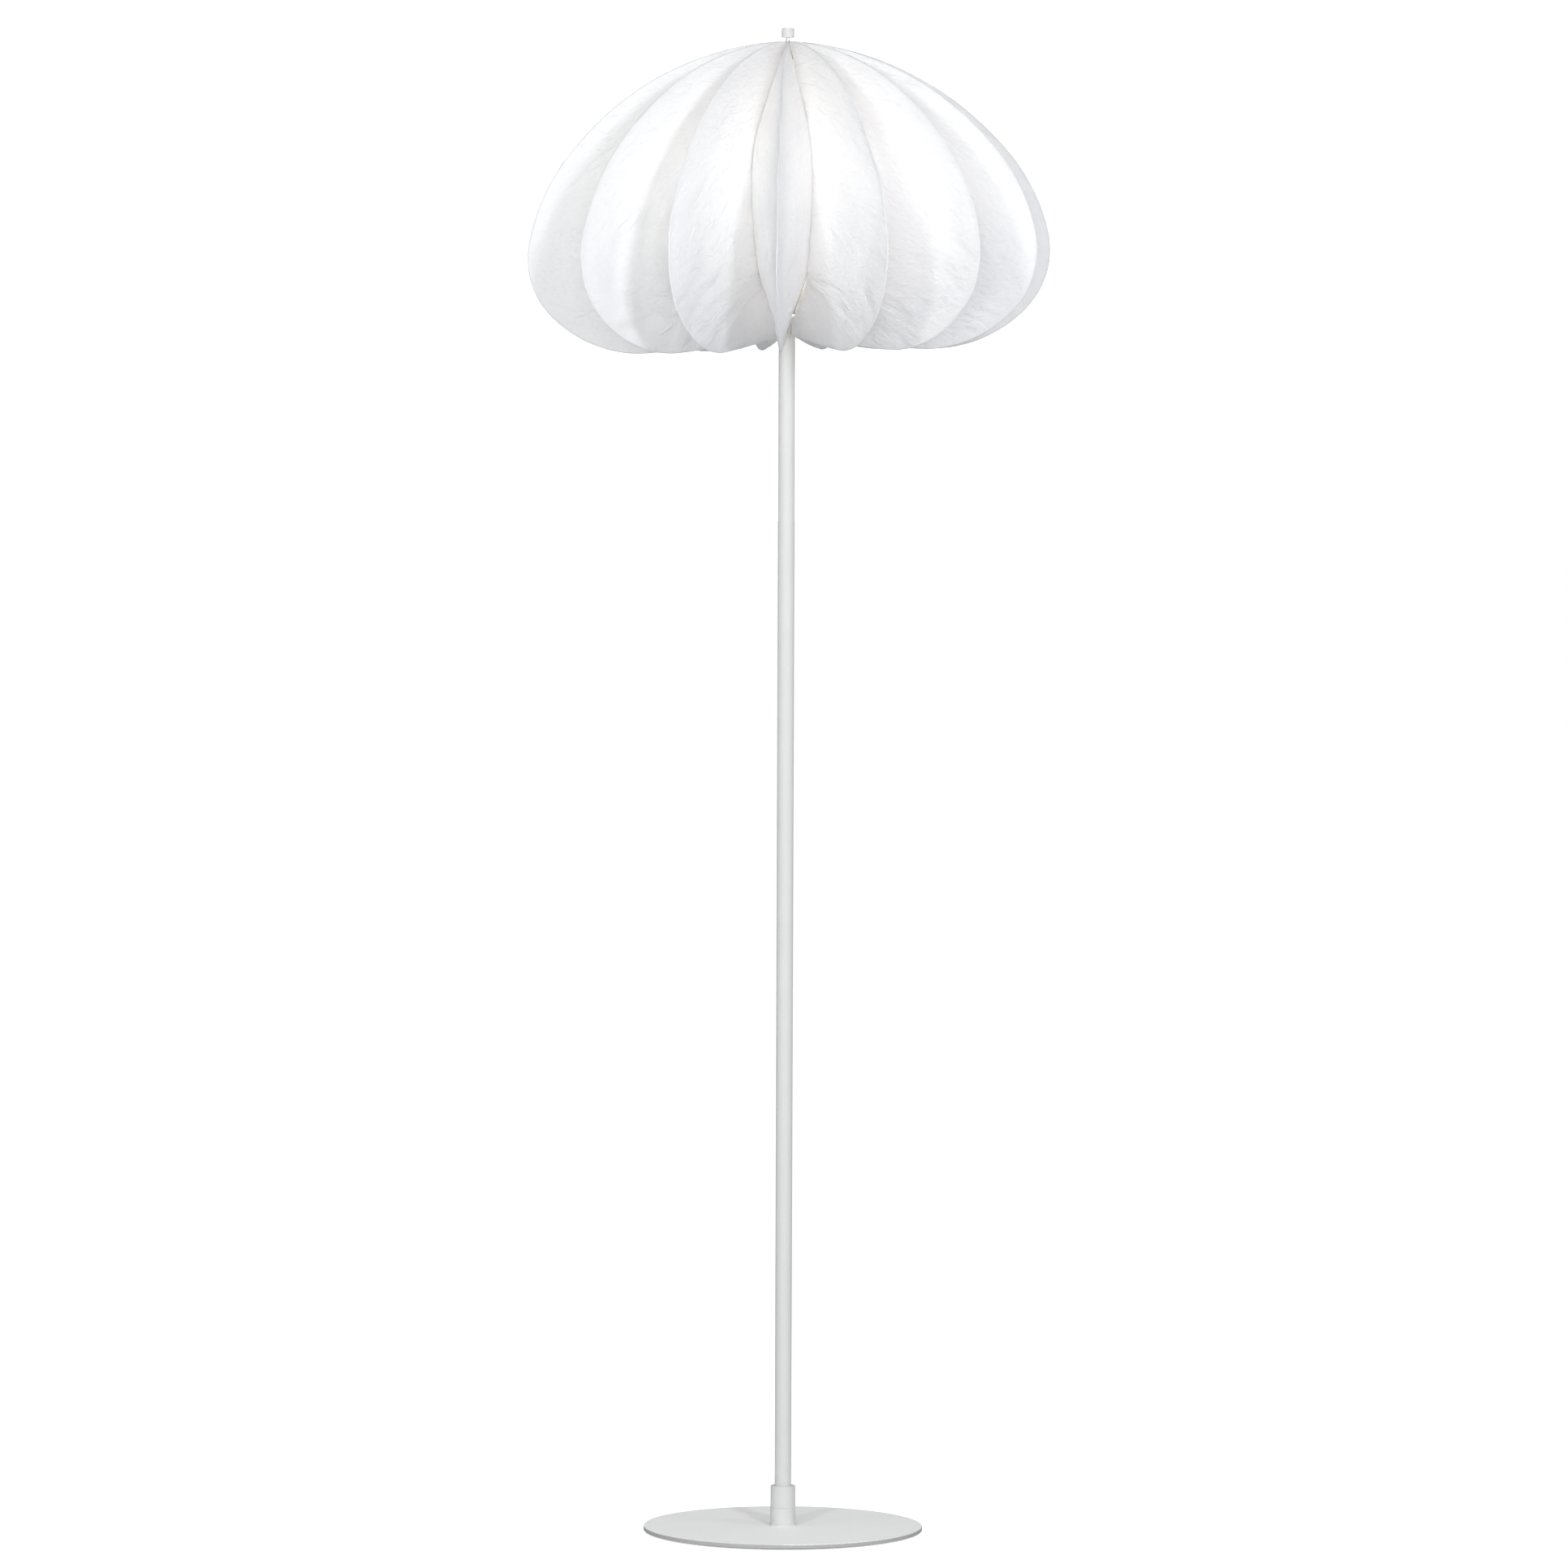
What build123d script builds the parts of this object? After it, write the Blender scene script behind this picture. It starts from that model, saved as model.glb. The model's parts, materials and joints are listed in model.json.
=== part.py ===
from build123d import *
from math import cos, radians, sin, sqrt, tan
import os

os.makedirs("parts", exist_ok=True)

# Mushroom floor lamp: a folded fabric shade on a harp, a thin pole and a round steel base.
# Millimetres, +Z up. The origin is the middle of the floor contact, under the pole.
# -Y is the front of the lamp, and the lead leaves at the back, +Y.

# ---- driving dimensions ----

# foot: a soft ring, the steel disc and the boss that is screwed to it
pad_thick = 1.2
pad_d = 306
pad_hole_d = 44
plate_d = 320
plate_thick = 5
plate_edge = 0.9
boss_d = 28.5
boss_height = 21
boss_foot_d = 31
boss_foot_height = 2.4
edge_chamfer = 0.4
base_screw_d = 8
base_screw_head_d = 15.6
base_screw_length = 12.5
base_screw_socket = 5
boss_chamber_d = 10

# lead outlet at the back of the boss
outlet_d = 7.5
outlet_height = 12.6
grommet_flange_d = 10.4
grommet_flange_thick = 1.4
lead_d = 4
lead_bend = 5.6

# pole, its two end bushes and the sleeve that hides the lower joint
pole_d = 19
pole_wall = 1.5
pole_length = 1366
bush_length = 18
pipe_d = 10
pipe_bore_d = 7
base_pipe_grip = 6
sleeve_height = 25
sleeve_screw_d = 4
sleeve_screw_socket = 2

# harp: a strip saddle under the lampholder and a wire bow over the bulb
saddle_thick = 2
saddle_width = 14
saddle_bend = 6
saddle_lug_width = 7
saddle_lug_height = 15
saddle_pin_length = 8
harp_wire_d = 3.4
harp_foot_spacing = 76
harp_width = 126
harp_leg = 30
harp_belly_drop = 96
harp_shoulder_drop = 50
harp_top_run = 24
ferrule_d = 6.4
ferrule_length = 16
nut_flats = 16
nut_thick = 3

# lampholder, E27
holder_d = 38
holder_wall = 1.6
holder_cap_height = 19
holder_cap_neck_d = 16
holder_shell_height = 37
holder_lip = 3
core_thick = 6
screw_shell_bore_d = 26.6
screw_shell_wall = 0.5
screw_shell_height = 25
contact_width = 6
contact_thick = 0.6

# bulb, opal LED globe with an E27 cap
bulb_length = 108
bulb_globe_d = 60
bulb_cap_d = 26.4
bulb_cap_height = 22
bulb_seat_height = 3
bulb_insulator_d = 20
bulb_tip_d = 9
bulb_neck_height = 33
bulb_wall = 1.4

# finial and its stud
stud_d = 4.7
hub_d = 12
hub_height = 15
finial_d = 14.6
finial_height = 11.2
finial_thread_depth = 7.9
finial_standoff = 3.8
washer_d = 8.8
washer_thick = 1

# shade: leaves of stiffened fabric, each two panels sewn together along the outer fold
leaf_count = 15
front_leaf = 4
front_leaf_turn = -2.2  # degrees to the right of the front
shade_d = 604
shade_top_r = 4
fold_band = 2  # cloth measured across a fold, in the plane of the fold
mouth_below_saddle = 22.2
ridge_heading = -3.1
ridge_arcs = [(346, 49.5), (219, 25.8), (95, 55.5), (147.3, 51), (1600, 5.1)]
valley_heading = -35.8
valley_arcs = [(3600, 2.5), (91, 59), (196, 26.5), (51, 28.5), (1600, 3.5)]
eyelet_wall = 1
eyelet_skirt_d = 16
mouth_cord_d = 1.8

# clearances
seat_gap = 0.3  # between a soft or loose piece and its seat
running_gap = 0.1  # on the radius, where one piece turns or slides on another
thread_gap = 0.05  # on the radius, for plain threads
face_gap = 0.05  # along the axis, between faces that slide


# ---- heights worked out from the sizes above ----

plate_z = pad_thick
boss_z = plate_z + plate_thick
pole_z = boss_z + boss_height
saddle_z = pole_z + pole_length
nut_z = saddle_z + saddle_thick
holder_z = nut_z + nut_thick
core_z = holder_z + holder_cap_height
tip_z = core_z + core_thick + bulb_seat_height
ferrule_z = saddle_z + saddle_lug_height
harp_foot_z = ferrule_z + saddle_pin_length
mouth_z = saddle_z - mouth_below_saddle


def arc_ends(radius, heading, arcs):
    # (radius, height, heading) after each arc of a chain that turns clockwise
    ends, height = [], 0
    for arc_radius, turn in arcs:
        a, b = radians(heading), radians(heading - turn)
        radius += arc_radius * (sin(a) - sin(b))
        height += arc_radius * (cos(b) - cos(a))
        heading -= turn
        ends.append((radius, height, heading))
    return ends


def widest_radius(arcs, heading):
    # where the chain heads straight down, measured from its start
    radius = 0
    for arc_radius, turn in arcs:
        last = min(turn, heading + 90)
        radius += arc_radius * (sin(radians(heading)) - sin(radians(heading - last)))
        heading -= turn
        if last < turn:
            return radius


outline_scale = (shade_d / 2 - shade_top_r) / widest_radius(ridge_arcs, ridge_heading)
shade_drop = -arc_ends(0, ridge_heading, ridge_arcs)[-1][1] * outline_scale
shade_top_z = mouth_z + shade_drop
valley_start_r = shade_top_r + fold_band * sin(radians(-valley_heading))
valley_start_z = shade_top_z - fold_band + fold_band * cos(radians(valley_heading))
mouth_r = shade_top_r + arc_ends(0, ridge_heading, ridge_arcs)[-1][0] * outline_scale

skirt_slope = tan(radians(-valley_heading))
eyelet_r = stud_d / 2 + running_gap
barrel_r = shade_top_r - 0.5
skirt_top_z = shade_top_z - fold_band - seat_gap
skirt_rim_z = skirt_top_z - (eyelet_skirt_d / 2 - shade_top_r) * skirt_slope
hub_top_z = skirt_rim_z - eyelet_wall
harp_top_z = hub_top_z - hub_height + 3
finial_z = shade_top_z + finial_standoff
stud_top_z = finial_z + finial_thread_depth - face_gap

leaf_angle = 360 / leaf_count


# ---- foot ----

with BuildPart() as base_pad:
    with BuildSketch():
        Circle(pad_d / 2)
        Circle(pad_hole_d / 2, mode=Mode.SUBTRACT)
    extrude(amount=pad_thick)
base_pad.part.label = "base_pad"
export_step(base_pad.part, "parts/base_pad.step")

with BuildPart() as base_plate:
    with BuildSketch(Plane.XY.offset(plate_z)):
        Circle(plate_d / 2)
    extrude(amount=plate_thick)
    fillet(base_plate.edges().filter_by(GeomType.CIRCLE), plate_edge)
    with Locations(Plane.XY.offset(plate_z).rotated((180, 0, 0))):
        CounterSinkHole(
            radius=base_screw_d / 2 + running_gap,
            counter_sink_radius=base_screw_head_d / 2 + running_gap,
            counter_sink_angle=90,
        )
base_plate.part.label = "base_plate"
export_step(base_plate.part, "parts/base_plate.step")

with BuildPart() as base_screw:
    head_drop = (base_screw_head_d - base_screw_d) / 2
    with BuildSketch(Plane.XZ):
        with BuildLine():
            Polyline(
                (0, plate_z),
                (base_screw_head_d / 2, plate_z),
                (base_screw_d / 2 - thread_gap, plate_z + head_drop + thread_gap),
                (base_screw_d / 2 - thread_gap, plate_z + base_screw_length - 0.6),
                (base_screw_d / 2 - 0.6, plate_z + base_screw_length),
                (0, plate_z + base_screw_length),
                close=True,
            )
        make_face()
    revolve(axis=Axis.Z)
    with BuildSketch(Plane.XY.offset(plate_z)):
        RegularPolygon(base_screw_socket / 2, 6, major_radius=False)
    extrude(amount=head_drop, mode=Mode.SUBTRACT)
base_screw.part.label = "base_screw"
export_step(base_screw.part, "parts/base_screw.step")

boss_thread_depth = base_screw_length - plate_thick + 1
outlet_z = boss_z + outlet_height
outlet_plane = Plane(origin=(0, 0, outlet_z), x_dir=(-1, 0, 0), z_dir=(0, 1, 0))
flange_seat_y = sqrt((boss_d / 2) ** 2 - (grommet_flange_d / 2) ** 2)

with BuildPart() as base_boss:
    with BuildSketch(Plane.XY.offset(boss_z)):
        Circle(boss_foot_d / 2)
    extrude(amount=boss_foot_height)
    fillet(base_boss.faces().sort_by(Axis.Z)[-1].edges(), edge_chamfer * 2)
    with BuildSketch(Plane.XY.offset(boss_z)):
        Circle(boss_d / 2)
    extrude(amount=boss_height)
    chamfer(base_boss.faces().sort_by(Axis.Z)[-1].edges(), edge_chamfer)
    with BuildSketch(Plane.XY.offset(boss_z)):
        Circle(base_screw_d / 2)
    extrude(amount=boss_thread_depth, mode=Mode.SUBTRACT)
    with BuildSketch(Plane.XY.offset(boss_z + boss_thread_depth)):
        Circle(boss_chamber_d / 2)
    extrude(amount=boss_height - boss_thread_depth, mode=Mode.SUBTRACT)
    with BuildSketch(outlet_plane):
        Circle(outlet_d / 2)
    extrude(amount=boss_d, mode=Mode.SUBTRACT)
    with BuildSketch(outlet_plane.offset(flange_seat_y)):
        Circle(grommet_flange_d / 2 + running_gap)
    extrude(amount=boss_d, mode=Mode.SUBTRACT)
base_boss.part.label = "base_boss"
export_step(base_boss.part, "parts/base_boss.step")

with BuildPart() as lead_grommet:
    grommet_inner_y = boss_chamber_d / 2 + 1
    with BuildSketch(outlet_plane.offset(flange_seat_y)):
        Circle(grommet_flange_d / 2)
    extrude(amount=grommet_flange_thick)
    fillet(lead_grommet.faces().sort_by(Axis.Y)[-1].edges(), edge_chamfer)
    with BuildSketch(outlet_plane.offset(grommet_inner_y)):
        Circle(outlet_d / 2 - thread_gap)
    extrude(amount=flange_seat_y - grommet_inner_y)
    with BuildSketch(outlet_plane):
        Circle(lead_d / 2 + thread_gap)
    extrude(amount=boss_d, mode=Mode.SUBTRACT)
lead_grommet.part.label = "lead_grommet"
export_step(lead_grommet.part, "parts/lead_grommet.step")


# ---- pole ----

def threaded_pipe(bottom, length):
    # a hollow threaded rod, drawn plain at its outer diameter
    with BuildPart() as pipe:
        with BuildSketch(Plane.XY.offset(bottom)):
            Circle(pipe_d / 2 - thread_gap)
            Circle(pipe_bore_d / 2, mode=Mode.SUBTRACT)
        extrude(amount=length)
        chamfer(pipe.edges().filter_by(GeomType.CIRCLE).group_by(SortBy.RADIUS)[-1], 0.5)
    return pipe.part


def pole_bush(bottom):
    # a turned plug pressed into an end of the pole, threaded for the pipe
    with BuildPart() as bush:
        with BuildSketch(Plane.XY.offset(bottom)):
            Circle(pole_d / 2 - pole_wall)
            Circle(pipe_d / 2, mode=Mode.SUBTRACT)
        extrude(amount=bush_length)
    return bush.part


with BuildPart() as pole_tube:
    with BuildSketch(Plane.XY.offset(pole_z)):
        Circle(pole_d / 2)
        Circle(pole_d / 2 - pole_wall, mode=Mode.SUBTRACT)
    extrude(amount=pole_length)
pole_tube.part.label = "pole_tube"
export_step(pole_tube.part, "parts/pole_tube.step")

with BuildPart() as pole_foot_bush:
    add(pole_bush(pole_z))
pole_foot_bush.part.label = "pole_foot_bush"
export_step(pole_foot_bush.part, "parts/pole_foot_bush.step")

with BuildPart() as pole_head_bush:
    add(pole_bush(saddle_z - bush_length))
pole_head_bush.part.label = "pole_head_bush"
export_step(pole_head_bush.part, "parts/pole_head_bush.step")

with BuildPart() as base_pipe:
    add(threaded_pipe(pole_z - base_pipe_grip + 1, base_pipe_grip + bush_length - 3))
base_pipe.part.label = "base_pipe"
export_step(base_pipe.part, "parts/base_pipe.step")

head_pipe_top = holder_z + 7
with BuildPart() as head_pipe:
    add(threaded_pipe(saddle_z - bush_length + 2, head_pipe_top - saddle_z + bush_length - 2))
head_pipe.part.label = "head_pipe"
export_step(head_pipe.part, "parts/head_pipe.step")

sleeve_screw_z = pole_z + sleeve_height / 2
sleeve_screw_plane = Plane(origin=(0, 0, sleeve_screw_z), x_dir=(-1, 0, 0), z_dir=(0, 1, 0))

with BuildPart() as pole_sleeve:
    with BuildSketch(Plane.XY.offset(pole_z)):
        Circle(boss_d / 2)
        Circle(pole_d / 2 + running_gap, mode=Mode.SUBTRACT)
    extrude(amount=sleeve_height)
    chamfer(pole_sleeve.edges().filter_by(GeomType.CIRCLE).group_by(SortBy.RADIUS)[-1], edge_chamfer)
    with BuildSketch(sleeve_screw_plane):
        Circle(sleeve_screw_d / 2)
    extrude(amount=boss_d, mode=Mode.SUBTRACT)
pole_sleeve.part.label = "pole_sleeve"
export_step(pole_sleeve.part, "parts/pole_sleeve.step")

with BuildPart() as sleeve_screw:
    with BuildSketch(sleeve_screw_plane.offset(pole_d / 2 + face_gap)):
        Circle(sleeve_screw_d / 2 - thread_gap)
    extrude(amount=(boss_d - pole_d) / 2 - 0.6)
    with BuildSketch(sleeve_screw_plane.offset(boss_d / 2)):
        RegularPolygon(sleeve_screw_socket / 2, 6, major_radius=False)
    extrude(amount=-2.6, mode=Mode.SUBTRACT)
sleeve_screw.part.label = "sleeve_screw"
export_step(sleeve_screw.part, "parts/sleeve_screw.step")

with BuildPart() as inner_lead:
    # from the lampholder down the pole, round in the boss chamber and into the grommet
    with BuildLine(Plane.YZ) as lead_route:
        lead_drop = Line((0, core_z - 4), (0, outlet_z + lead_bend))
        lead_turn = JernArc(lead_drop @ 1, (0, 0, -1), lead_bend, 90)
        Line(lead_turn @ 1, (0, boss_d / 2 - 2, outlet_z))
    with BuildSketch(Plane.XY.offset(core_z - 4)):
        Circle(lead_d / 2)
    sweep()
inner_lead.part.label = "inner_lead"
export_step(inner_lead.part, "parts/inner_lead.step")


# ---- harp ----

foot_x = harp_foot_spacing / 2

with BuildPart() as harp_saddle:
    with BuildSketch(Plane.XZ):
        with BuildLine() as strip_edge:
            FilletPolyline(
                (-foot_x + saddle_thick / 2, ferrule_z),
                (-foot_x + saddle_thick / 2, nut_z),
                (foot_x - saddle_thick / 2, nut_z),
                (foot_x - saddle_thick / 2, ferrule_z),
                radius=saddle_bend - saddle_thick,
            )
            offset(amount=saddle_thick, side=Side.RIGHT, closed=True)
        make_face()
    extrude(amount=saddle_width / 2, both=True)
    with BuildSketch(Plane.YZ):
        # the upturned ends narrow to a lug
        with Locations((0, ferrule_z)):
            Rectangle(saddle_width * 2, 2 * (saddle_lug_height - saddle_bend - 1))
            Rectangle(saddle_lug_width, 4 * saddle_lug_height, mode=Mode.SUBTRACT)
    extrude(amount=harp_foot_spacing, both=True, mode=Mode.SUBTRACT)
    with BuildSketch(Plane.XY.offset(saddle_z)):
        Circle(pipe_d / 2 + running_gap)
    extrude(amount=saddle_thick, mode=Mode.SUBTRACT)
    with BuildSketch(Plane.XY.offset(ferrule_z)):
        with Locations((-foot_x, 0), (foot_x, 0)):
            Circle(harp_wire_d / 2)
    extrude(amount=saddle_pin_length)
harp_saddle.part.label = "harp_saddle"
export_step(harp_saddle.part, "parts/harp_saddle.step")

belly_x = harp_width / 2
belly_z = harp_foot_z + harp_belly_drop
shoulder_z = harp_top_z - harp_shoulder_drop
harp_corners = [
    (-foot_x, harp_foot_z),
    (-foot_x, harp_foot_z + harp_leg),
    (-belly_x, belly_z),
    (-belly_x, shoulder_z),
    (-harp_top_run / 2, harp_top_z),
    (harp_top_run / 2, harp_top_z),
    (belly_x, shoulder_z),
    (belly_x, belly_z),
    (foot_x, harp_foot_z + harp_leg),
    (foot_x, harp_foot_z),
]

with BuildPart() as harp_wire:
    with BuildLine(Plane.XZ):
        FilletPolyline(*harp_corners, radius=[38, 90, 55, 12, 12, 55, 90, 38])
    with BuildSketch(Plane.XY.offset(harp_foot_z)):
        with Locations((-foot_x, 0)):
            Circle(harp_wire_d / 2)
    sweep()
harp_wire.part.label = "harp_wire"
export_step(harp_wire.part, "parts/harp_wire.step")

for side, x in (("left", -foot_x), ("right", foot_x)):
    with BuildPart() as ferrule:
        with BuildSketch(Plane.XY.offset(ferrule_z + face_gap)):
            with Locations((x, 0)):
                Circle(ferrule_d / 2)
                Circle(harp_wire_d / 2 + running_gap, mode=Mode.SUBTRACT)
        extrude(amount=ferrule_length)
        chamfer(ferrule.edges().filter_by(GeomType.CIRCLE).group_by(SortBy.RADIUS)[-1], edge_chamfer)
    ferrule.part.label = f"harp_ferrule_{side}"
    export_step(ferrule.part, f"parts/harp_ferrule_{side}.step")

with BuildPart() as harp_hub:
    with BuildSketch(Plane.XY.offset(hub_top_z - hub_height)):
        Circle(hub_d / 2)
    extrude(amount=hub_height)
    chamfer(harp_hub.edges().filter_by(GeomType.CIRCLE), edge_chamfer)
    with BuildSketch(Plane.XY.offset(hub_top_z)):
        Circle(stud_d / 2)
    extrude(amount=stud_top_z - hub_top_z)
    chamfer(harp_hub.faces().sort_by(Axis.Z)[-1].edges(), edge_chamfer)
    with BuildSketch(Plane.YZ):
        with Locations((0, harp_top_z)):
            Circle(harp_wire_d / 2)
    extrude(amount=hub_d, both=True, mode=Mode.SUBTRACT)
harp_hub.part.label = "harp_hub"
export_step(harp_hub.part, "parts/harp_hub.step")

with BuildPart() as saddle_nut:
    with BuildSketch(Plane.XY.offset(nut_z)):
        RegularPolygon(nut_flats / 2, 6, major_radius=False)
        Circle(pipe_d / 2, mode=Mode.SUBTRACT)
    extrude(amount=nut_thick)
saddle_nut.part.label = "saddle_nut"
export_step(saddle_nut.part, "parts/saddle_nut.step")


# ---- lampholder ----

holder_r = holder_d / 2

with BuildPart() as holder_cap:
    with BuildSketch(Plane.XZ):
        with BuildLine():
            neck = Line((pipe_d / 2, holder_z), (holder_cap_neck_d / 2, holder_z))
            dome = ThreePointArc(
                neck @ 1,
                (holder_r * 0.82, holder_z + holder_cap_height * 0.38),
                (holder_r, holder_z + holder_cap_height),
            )
            rim = Line(dome @ 1, (holder_r - holder_wall, holder_z + holder_cap_height))
            inside = ThreePointArc(
                rim @ 1,
                (holder_r * 0.82 - holder_wall, holder_z + holder_cap_height * 0.46),
                (holder_cap_neck_d / 2 + 0.6, holder_z + 3.2),
            )
            Polyline(inside @ 1, (pipe_d / 2, holder_z + 3.2), (pipe_d / 2, holder_z))
        make_face()
    revolve(axis=Axis.Z)
holder_cap.part.label = "holder_cap"
export_step(holder_cap.part, "parts/holder_cap.step")

with BuildPart() as holder_shell:
    with BuildSketch(Plane.XY.offset(core_z)):
        Circle(holder_r)
        Circle(holder_r - holder_wall, mode=Mode.SUBTRACT)
    extrude(amount=holder_shell_height)
    with BuildSketch(Plane.XY.offset(core_z + holder_shell_height - holder_wall)):
        Circle(holder_r)
        Circle(holder_r - holder_lip, mode=Mode.SUBTRACT)
    extrude(amount=holder_wall)
    chamfer(holder_shell.edges().filter_by(GeomType.CIRCLE).sort_by(SortBy.RADIUS)[-1], edge_chamfer)
holder_shell.part.label = "holder_shell"
export_step(holder_shell.part, "parts/holder_shell.step")

with BuildPart() as holder_core:
    with BuildSketch(Plane.XY.offset(core_z)):
        Circle(holder_r - holder_wall - running_gap)
        with Locations((0, -9), (0, 9)):
            Circle(1.6, mode=Mode.SUBTRACT)
    extrude(amount=core_thick)
    with BuildSketch(Plane.XY.offset(core_z + core_thick)):
        Circle(holder_r - holder_wall - running_gap)
        Circle(screw_shell_bore_d / 2 + screw_shell_wall + thread_gap, mode=Mode.SUBTRACT)
    extrude(amount=screw_shell_height * 0.6)
holder_core.part.label = "holder_core"
export_step(holder_core.part, "parts/holder_core.step")

with BuildPart() as screw_shell:
    with BuildSketch(Plane.XY.offset(core_z + core_thick)):
        Circle(screw_shell_bore_d / 2 + screw_shell_wall)
        Circle(screw_shell_bore_d / 2, mode=Mode.SUBTRACT)
    extrude(amount=screw_shell_height)
screw_shell.part.label = "screw_shell"
export_step(screw_shell.part, "parts/screw_shell.step")

with BuildPart() as centre_contact:
    # a brass strip that springs up under the bulb's tip
    with BuildSketch(Plane.XZ):
        with BuildLine():
            FilletPolyline(
                (-9, core_z + core_thick + contact_thick),
                (-5, core_z + core_thick + contact_thick),
                (-2, tip_z - face_gap),
                (4, tip_z - face_gap),
                radius=1.2,
            )
            offset(amount=contact_thick, side=Side.RIGHT, closed=True)
        make_face()
    extrude(amount=contact_width / 2, both=True)
centre_contact.part.label = "centre_contact"
export_step(centre_contact.part, "parts/centre_contact.step")

with BuildPart() as holder_terminals:
    # two cheese-head screws in the core's feet
    with BuildSketch(Plane.XY.offset(core_z - 1.6)):
        with Locations((0, -9), (0, 9)):
            Circle(2.8)
    extrude(amount=1.6)
    with BuildSketch(Plane.XY.offset(core_z)):
        with Locations((0, -9), (0, 9)):
            Circle(1.6 - thread_gap)
    extrude(amount=core_thick - 1)
holder_terminals.part.label = "holder_terminals"
export_step(holder_terminals.part, "parts/holder_terminals.step")


# ---- bulb ----

cap_z = tip_z + bulb_seat_height + 1.4
neck_z = cap_z + bulb_cap_height
globe_r = bulb_globe_d / 2
bulb_top_z = tip_z + bulb_length
globe_z = bulb_top_z - globe_r
neck_top_z = neck_z + bulb_neck_height
globe_cut_r = sqrt(globe_r**2 - (globe_z - neck_top_z) ** 2)

with BuildPart() as bulb_tip:
    with BuildSketch(Plane.XY.offset(tip_z)):
        Circle(bulb_tip_d / 2)
    extrude(amount=1.4)
    fillet(bulb_tip.faces().sort_by(Axis.Z)[0].edges(), 0.8)
bulb_tip.part.label = "bulb_tip"
export_step(bulb_tip.part, "parts/bulb_tip.step")

with BuildPart() as bulb_insulator:
    with BuildSketch(Plane.XY.offset(tip_z + 1.4)):
        Circle(bulb_tip_d / 2 + 1)
    with BuildSketch(Plane.XY.offset(cap_z)):
        Circle(bulb_insulator_d / 2)
    loft()
bulb_insulator.part.label = "bulb_insulator"
export_step(bulb_insulator.part, "parts/bulb_insulator.step")

with BuildPart() as bulb_cap:
    with BuildSketch(Plane.XY.offset(cap_z)):
        Circle(bulb_cap_d / 2)
    extrude(amount=bulb_cap_height)
    chamfer(bulb_cap.faces().sort_by(Axis.Z)[0].edges(), 1.6)
bulb_cap.part.label = "bulb_cap"
export_step(bulb_cap.part, "parts/bulb_cap.step")

with BuildPart() as bulb_neck:
    with BuildSketch(Plane.XZ):
        with BuildLine():
            foot = Line((0, neck_z), (bulb_cap_d / 2, neck_z))
            flare = ThreePointArc(
                foot @ 1,
                (bulb_cap_d / 2 + (globe_cut_r - bulb_cap_d / 2) * 0.4, neck_z + bulb_neck_height * 0.56),
                (globe_cut_r, neck_top_z),
            )
            Polyline(flare @ 1, (0, neck_top_z), (0, neck_z))
        make_face()
    revolve(axis=Axis.Z)
bulb_neck.part.label = "bulb_neck"
export_step(bulb_neck.part, "parts/bulb_neck.step")

with BuildPart() as bulb_globe:
    with Locations((0, 0, globe_z)):
        Sphere(globe_r)
        Sphere(globe_r - bulb_wall, mode=Mode.SUBTRACT)
    split(bisect_by=Plane.XY.offset(neck_top_z), keep=Keep.TOP)
bulb_globe.part.label = "bulb_globe"
export_step(bulb_globe.part, "parts/bulb_globe.step")


# ---- finial ----

with BuildPart() as finial:
    with BuildSketch(Plane.XY.offset(finial_z)):
        Circle(finial_d / 2)
    extrude(amount=finial_height)
    fillet(finial.edges().filter_by(GeomType.CIRCLE), edge_chamfer)
    with BuildSketch(Plane.XY.offset(finial_z)):
        Circle(washer_d / 2 + seat_gap)
    extrude(amount=washer_thick + face_gap, mode=Mode.SUBTRACT)
    with BuildSketch(Plane.XY.offset(finial_z)):
        Circle(stud_d / 2 + thread_gap)
    extrude(amount=finial_thread_depth, mode=Mode.SUBTRACT)
finial.part.label = "finial"
export_step(finial.part, "parts/finial.step")

with BuildPart() as finial_washer:
    with BuildSketch(Plane.XY.offset(finial_z)):
        Circle(washer_d / 2)
        Circle(stud_d / 2 + running_gap, mode=Mode.SUBTRACT)
    extrude(amount=washer_thick)
finial_washer.part.label = "finial_washer"
export_step(finial_washer.part, "parts/finial_washer.step")


# ---- shade ----

def fold_section(plane, start, heading, arcs):
    # the cloth cut through along a fold: a band under a chain of tangent arcs
    direction = (cos(radians(heading)), sin(radians(heading)))
    with BuildSketch(plane) as section:
        with BuildLine():
            for arc_radius, turn in arcs:
                arc = JernArc(start, direction, arc_radius * outline_scale, -turn)
                start, direction = arc @ 1, arc % 1
            offset(amount=fold_band, side=Side.RIGHT, closed=True)
        make_face()
    return section.sketch


def upright_plane(turn):
    # through the lamp's axis, with its local x pointing outwards
    a = radians(turn)
    return Plane(origin=(0, 0, 0), x_dir=(cos(a), sin(a), 0), z_dir=(sin(a), -cos(a), 0))


ridge_section = fold_section(
    upright_plane(0), (shade_top_r, shade_top_z), ridge_heading, ridge_arcs
)
valley_section = fold_section(
    upright_plane(leaf_angle / 2), (valley_start_r, valley_start_z), valley_heading, valley_arcs
)

with BuildPart() as leaf:
    loft([ridge_section, valley_section], ruled=True)
    mirror(about=Plane.XZ)

for number in range(1, leaf_count + 1):
    with BuildPart() as shade_leaf:
        add(leaf.part, rotation=(0, 0, (number - front_leaf) * leaf_angle + front_leaf_turn - 90))
    shade_leaf.part.label = f"shade_leaf_{number:02d}"
    export_step(shade_leaf.part, f"parts/shade_leaf_{number:02d}.step")

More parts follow.
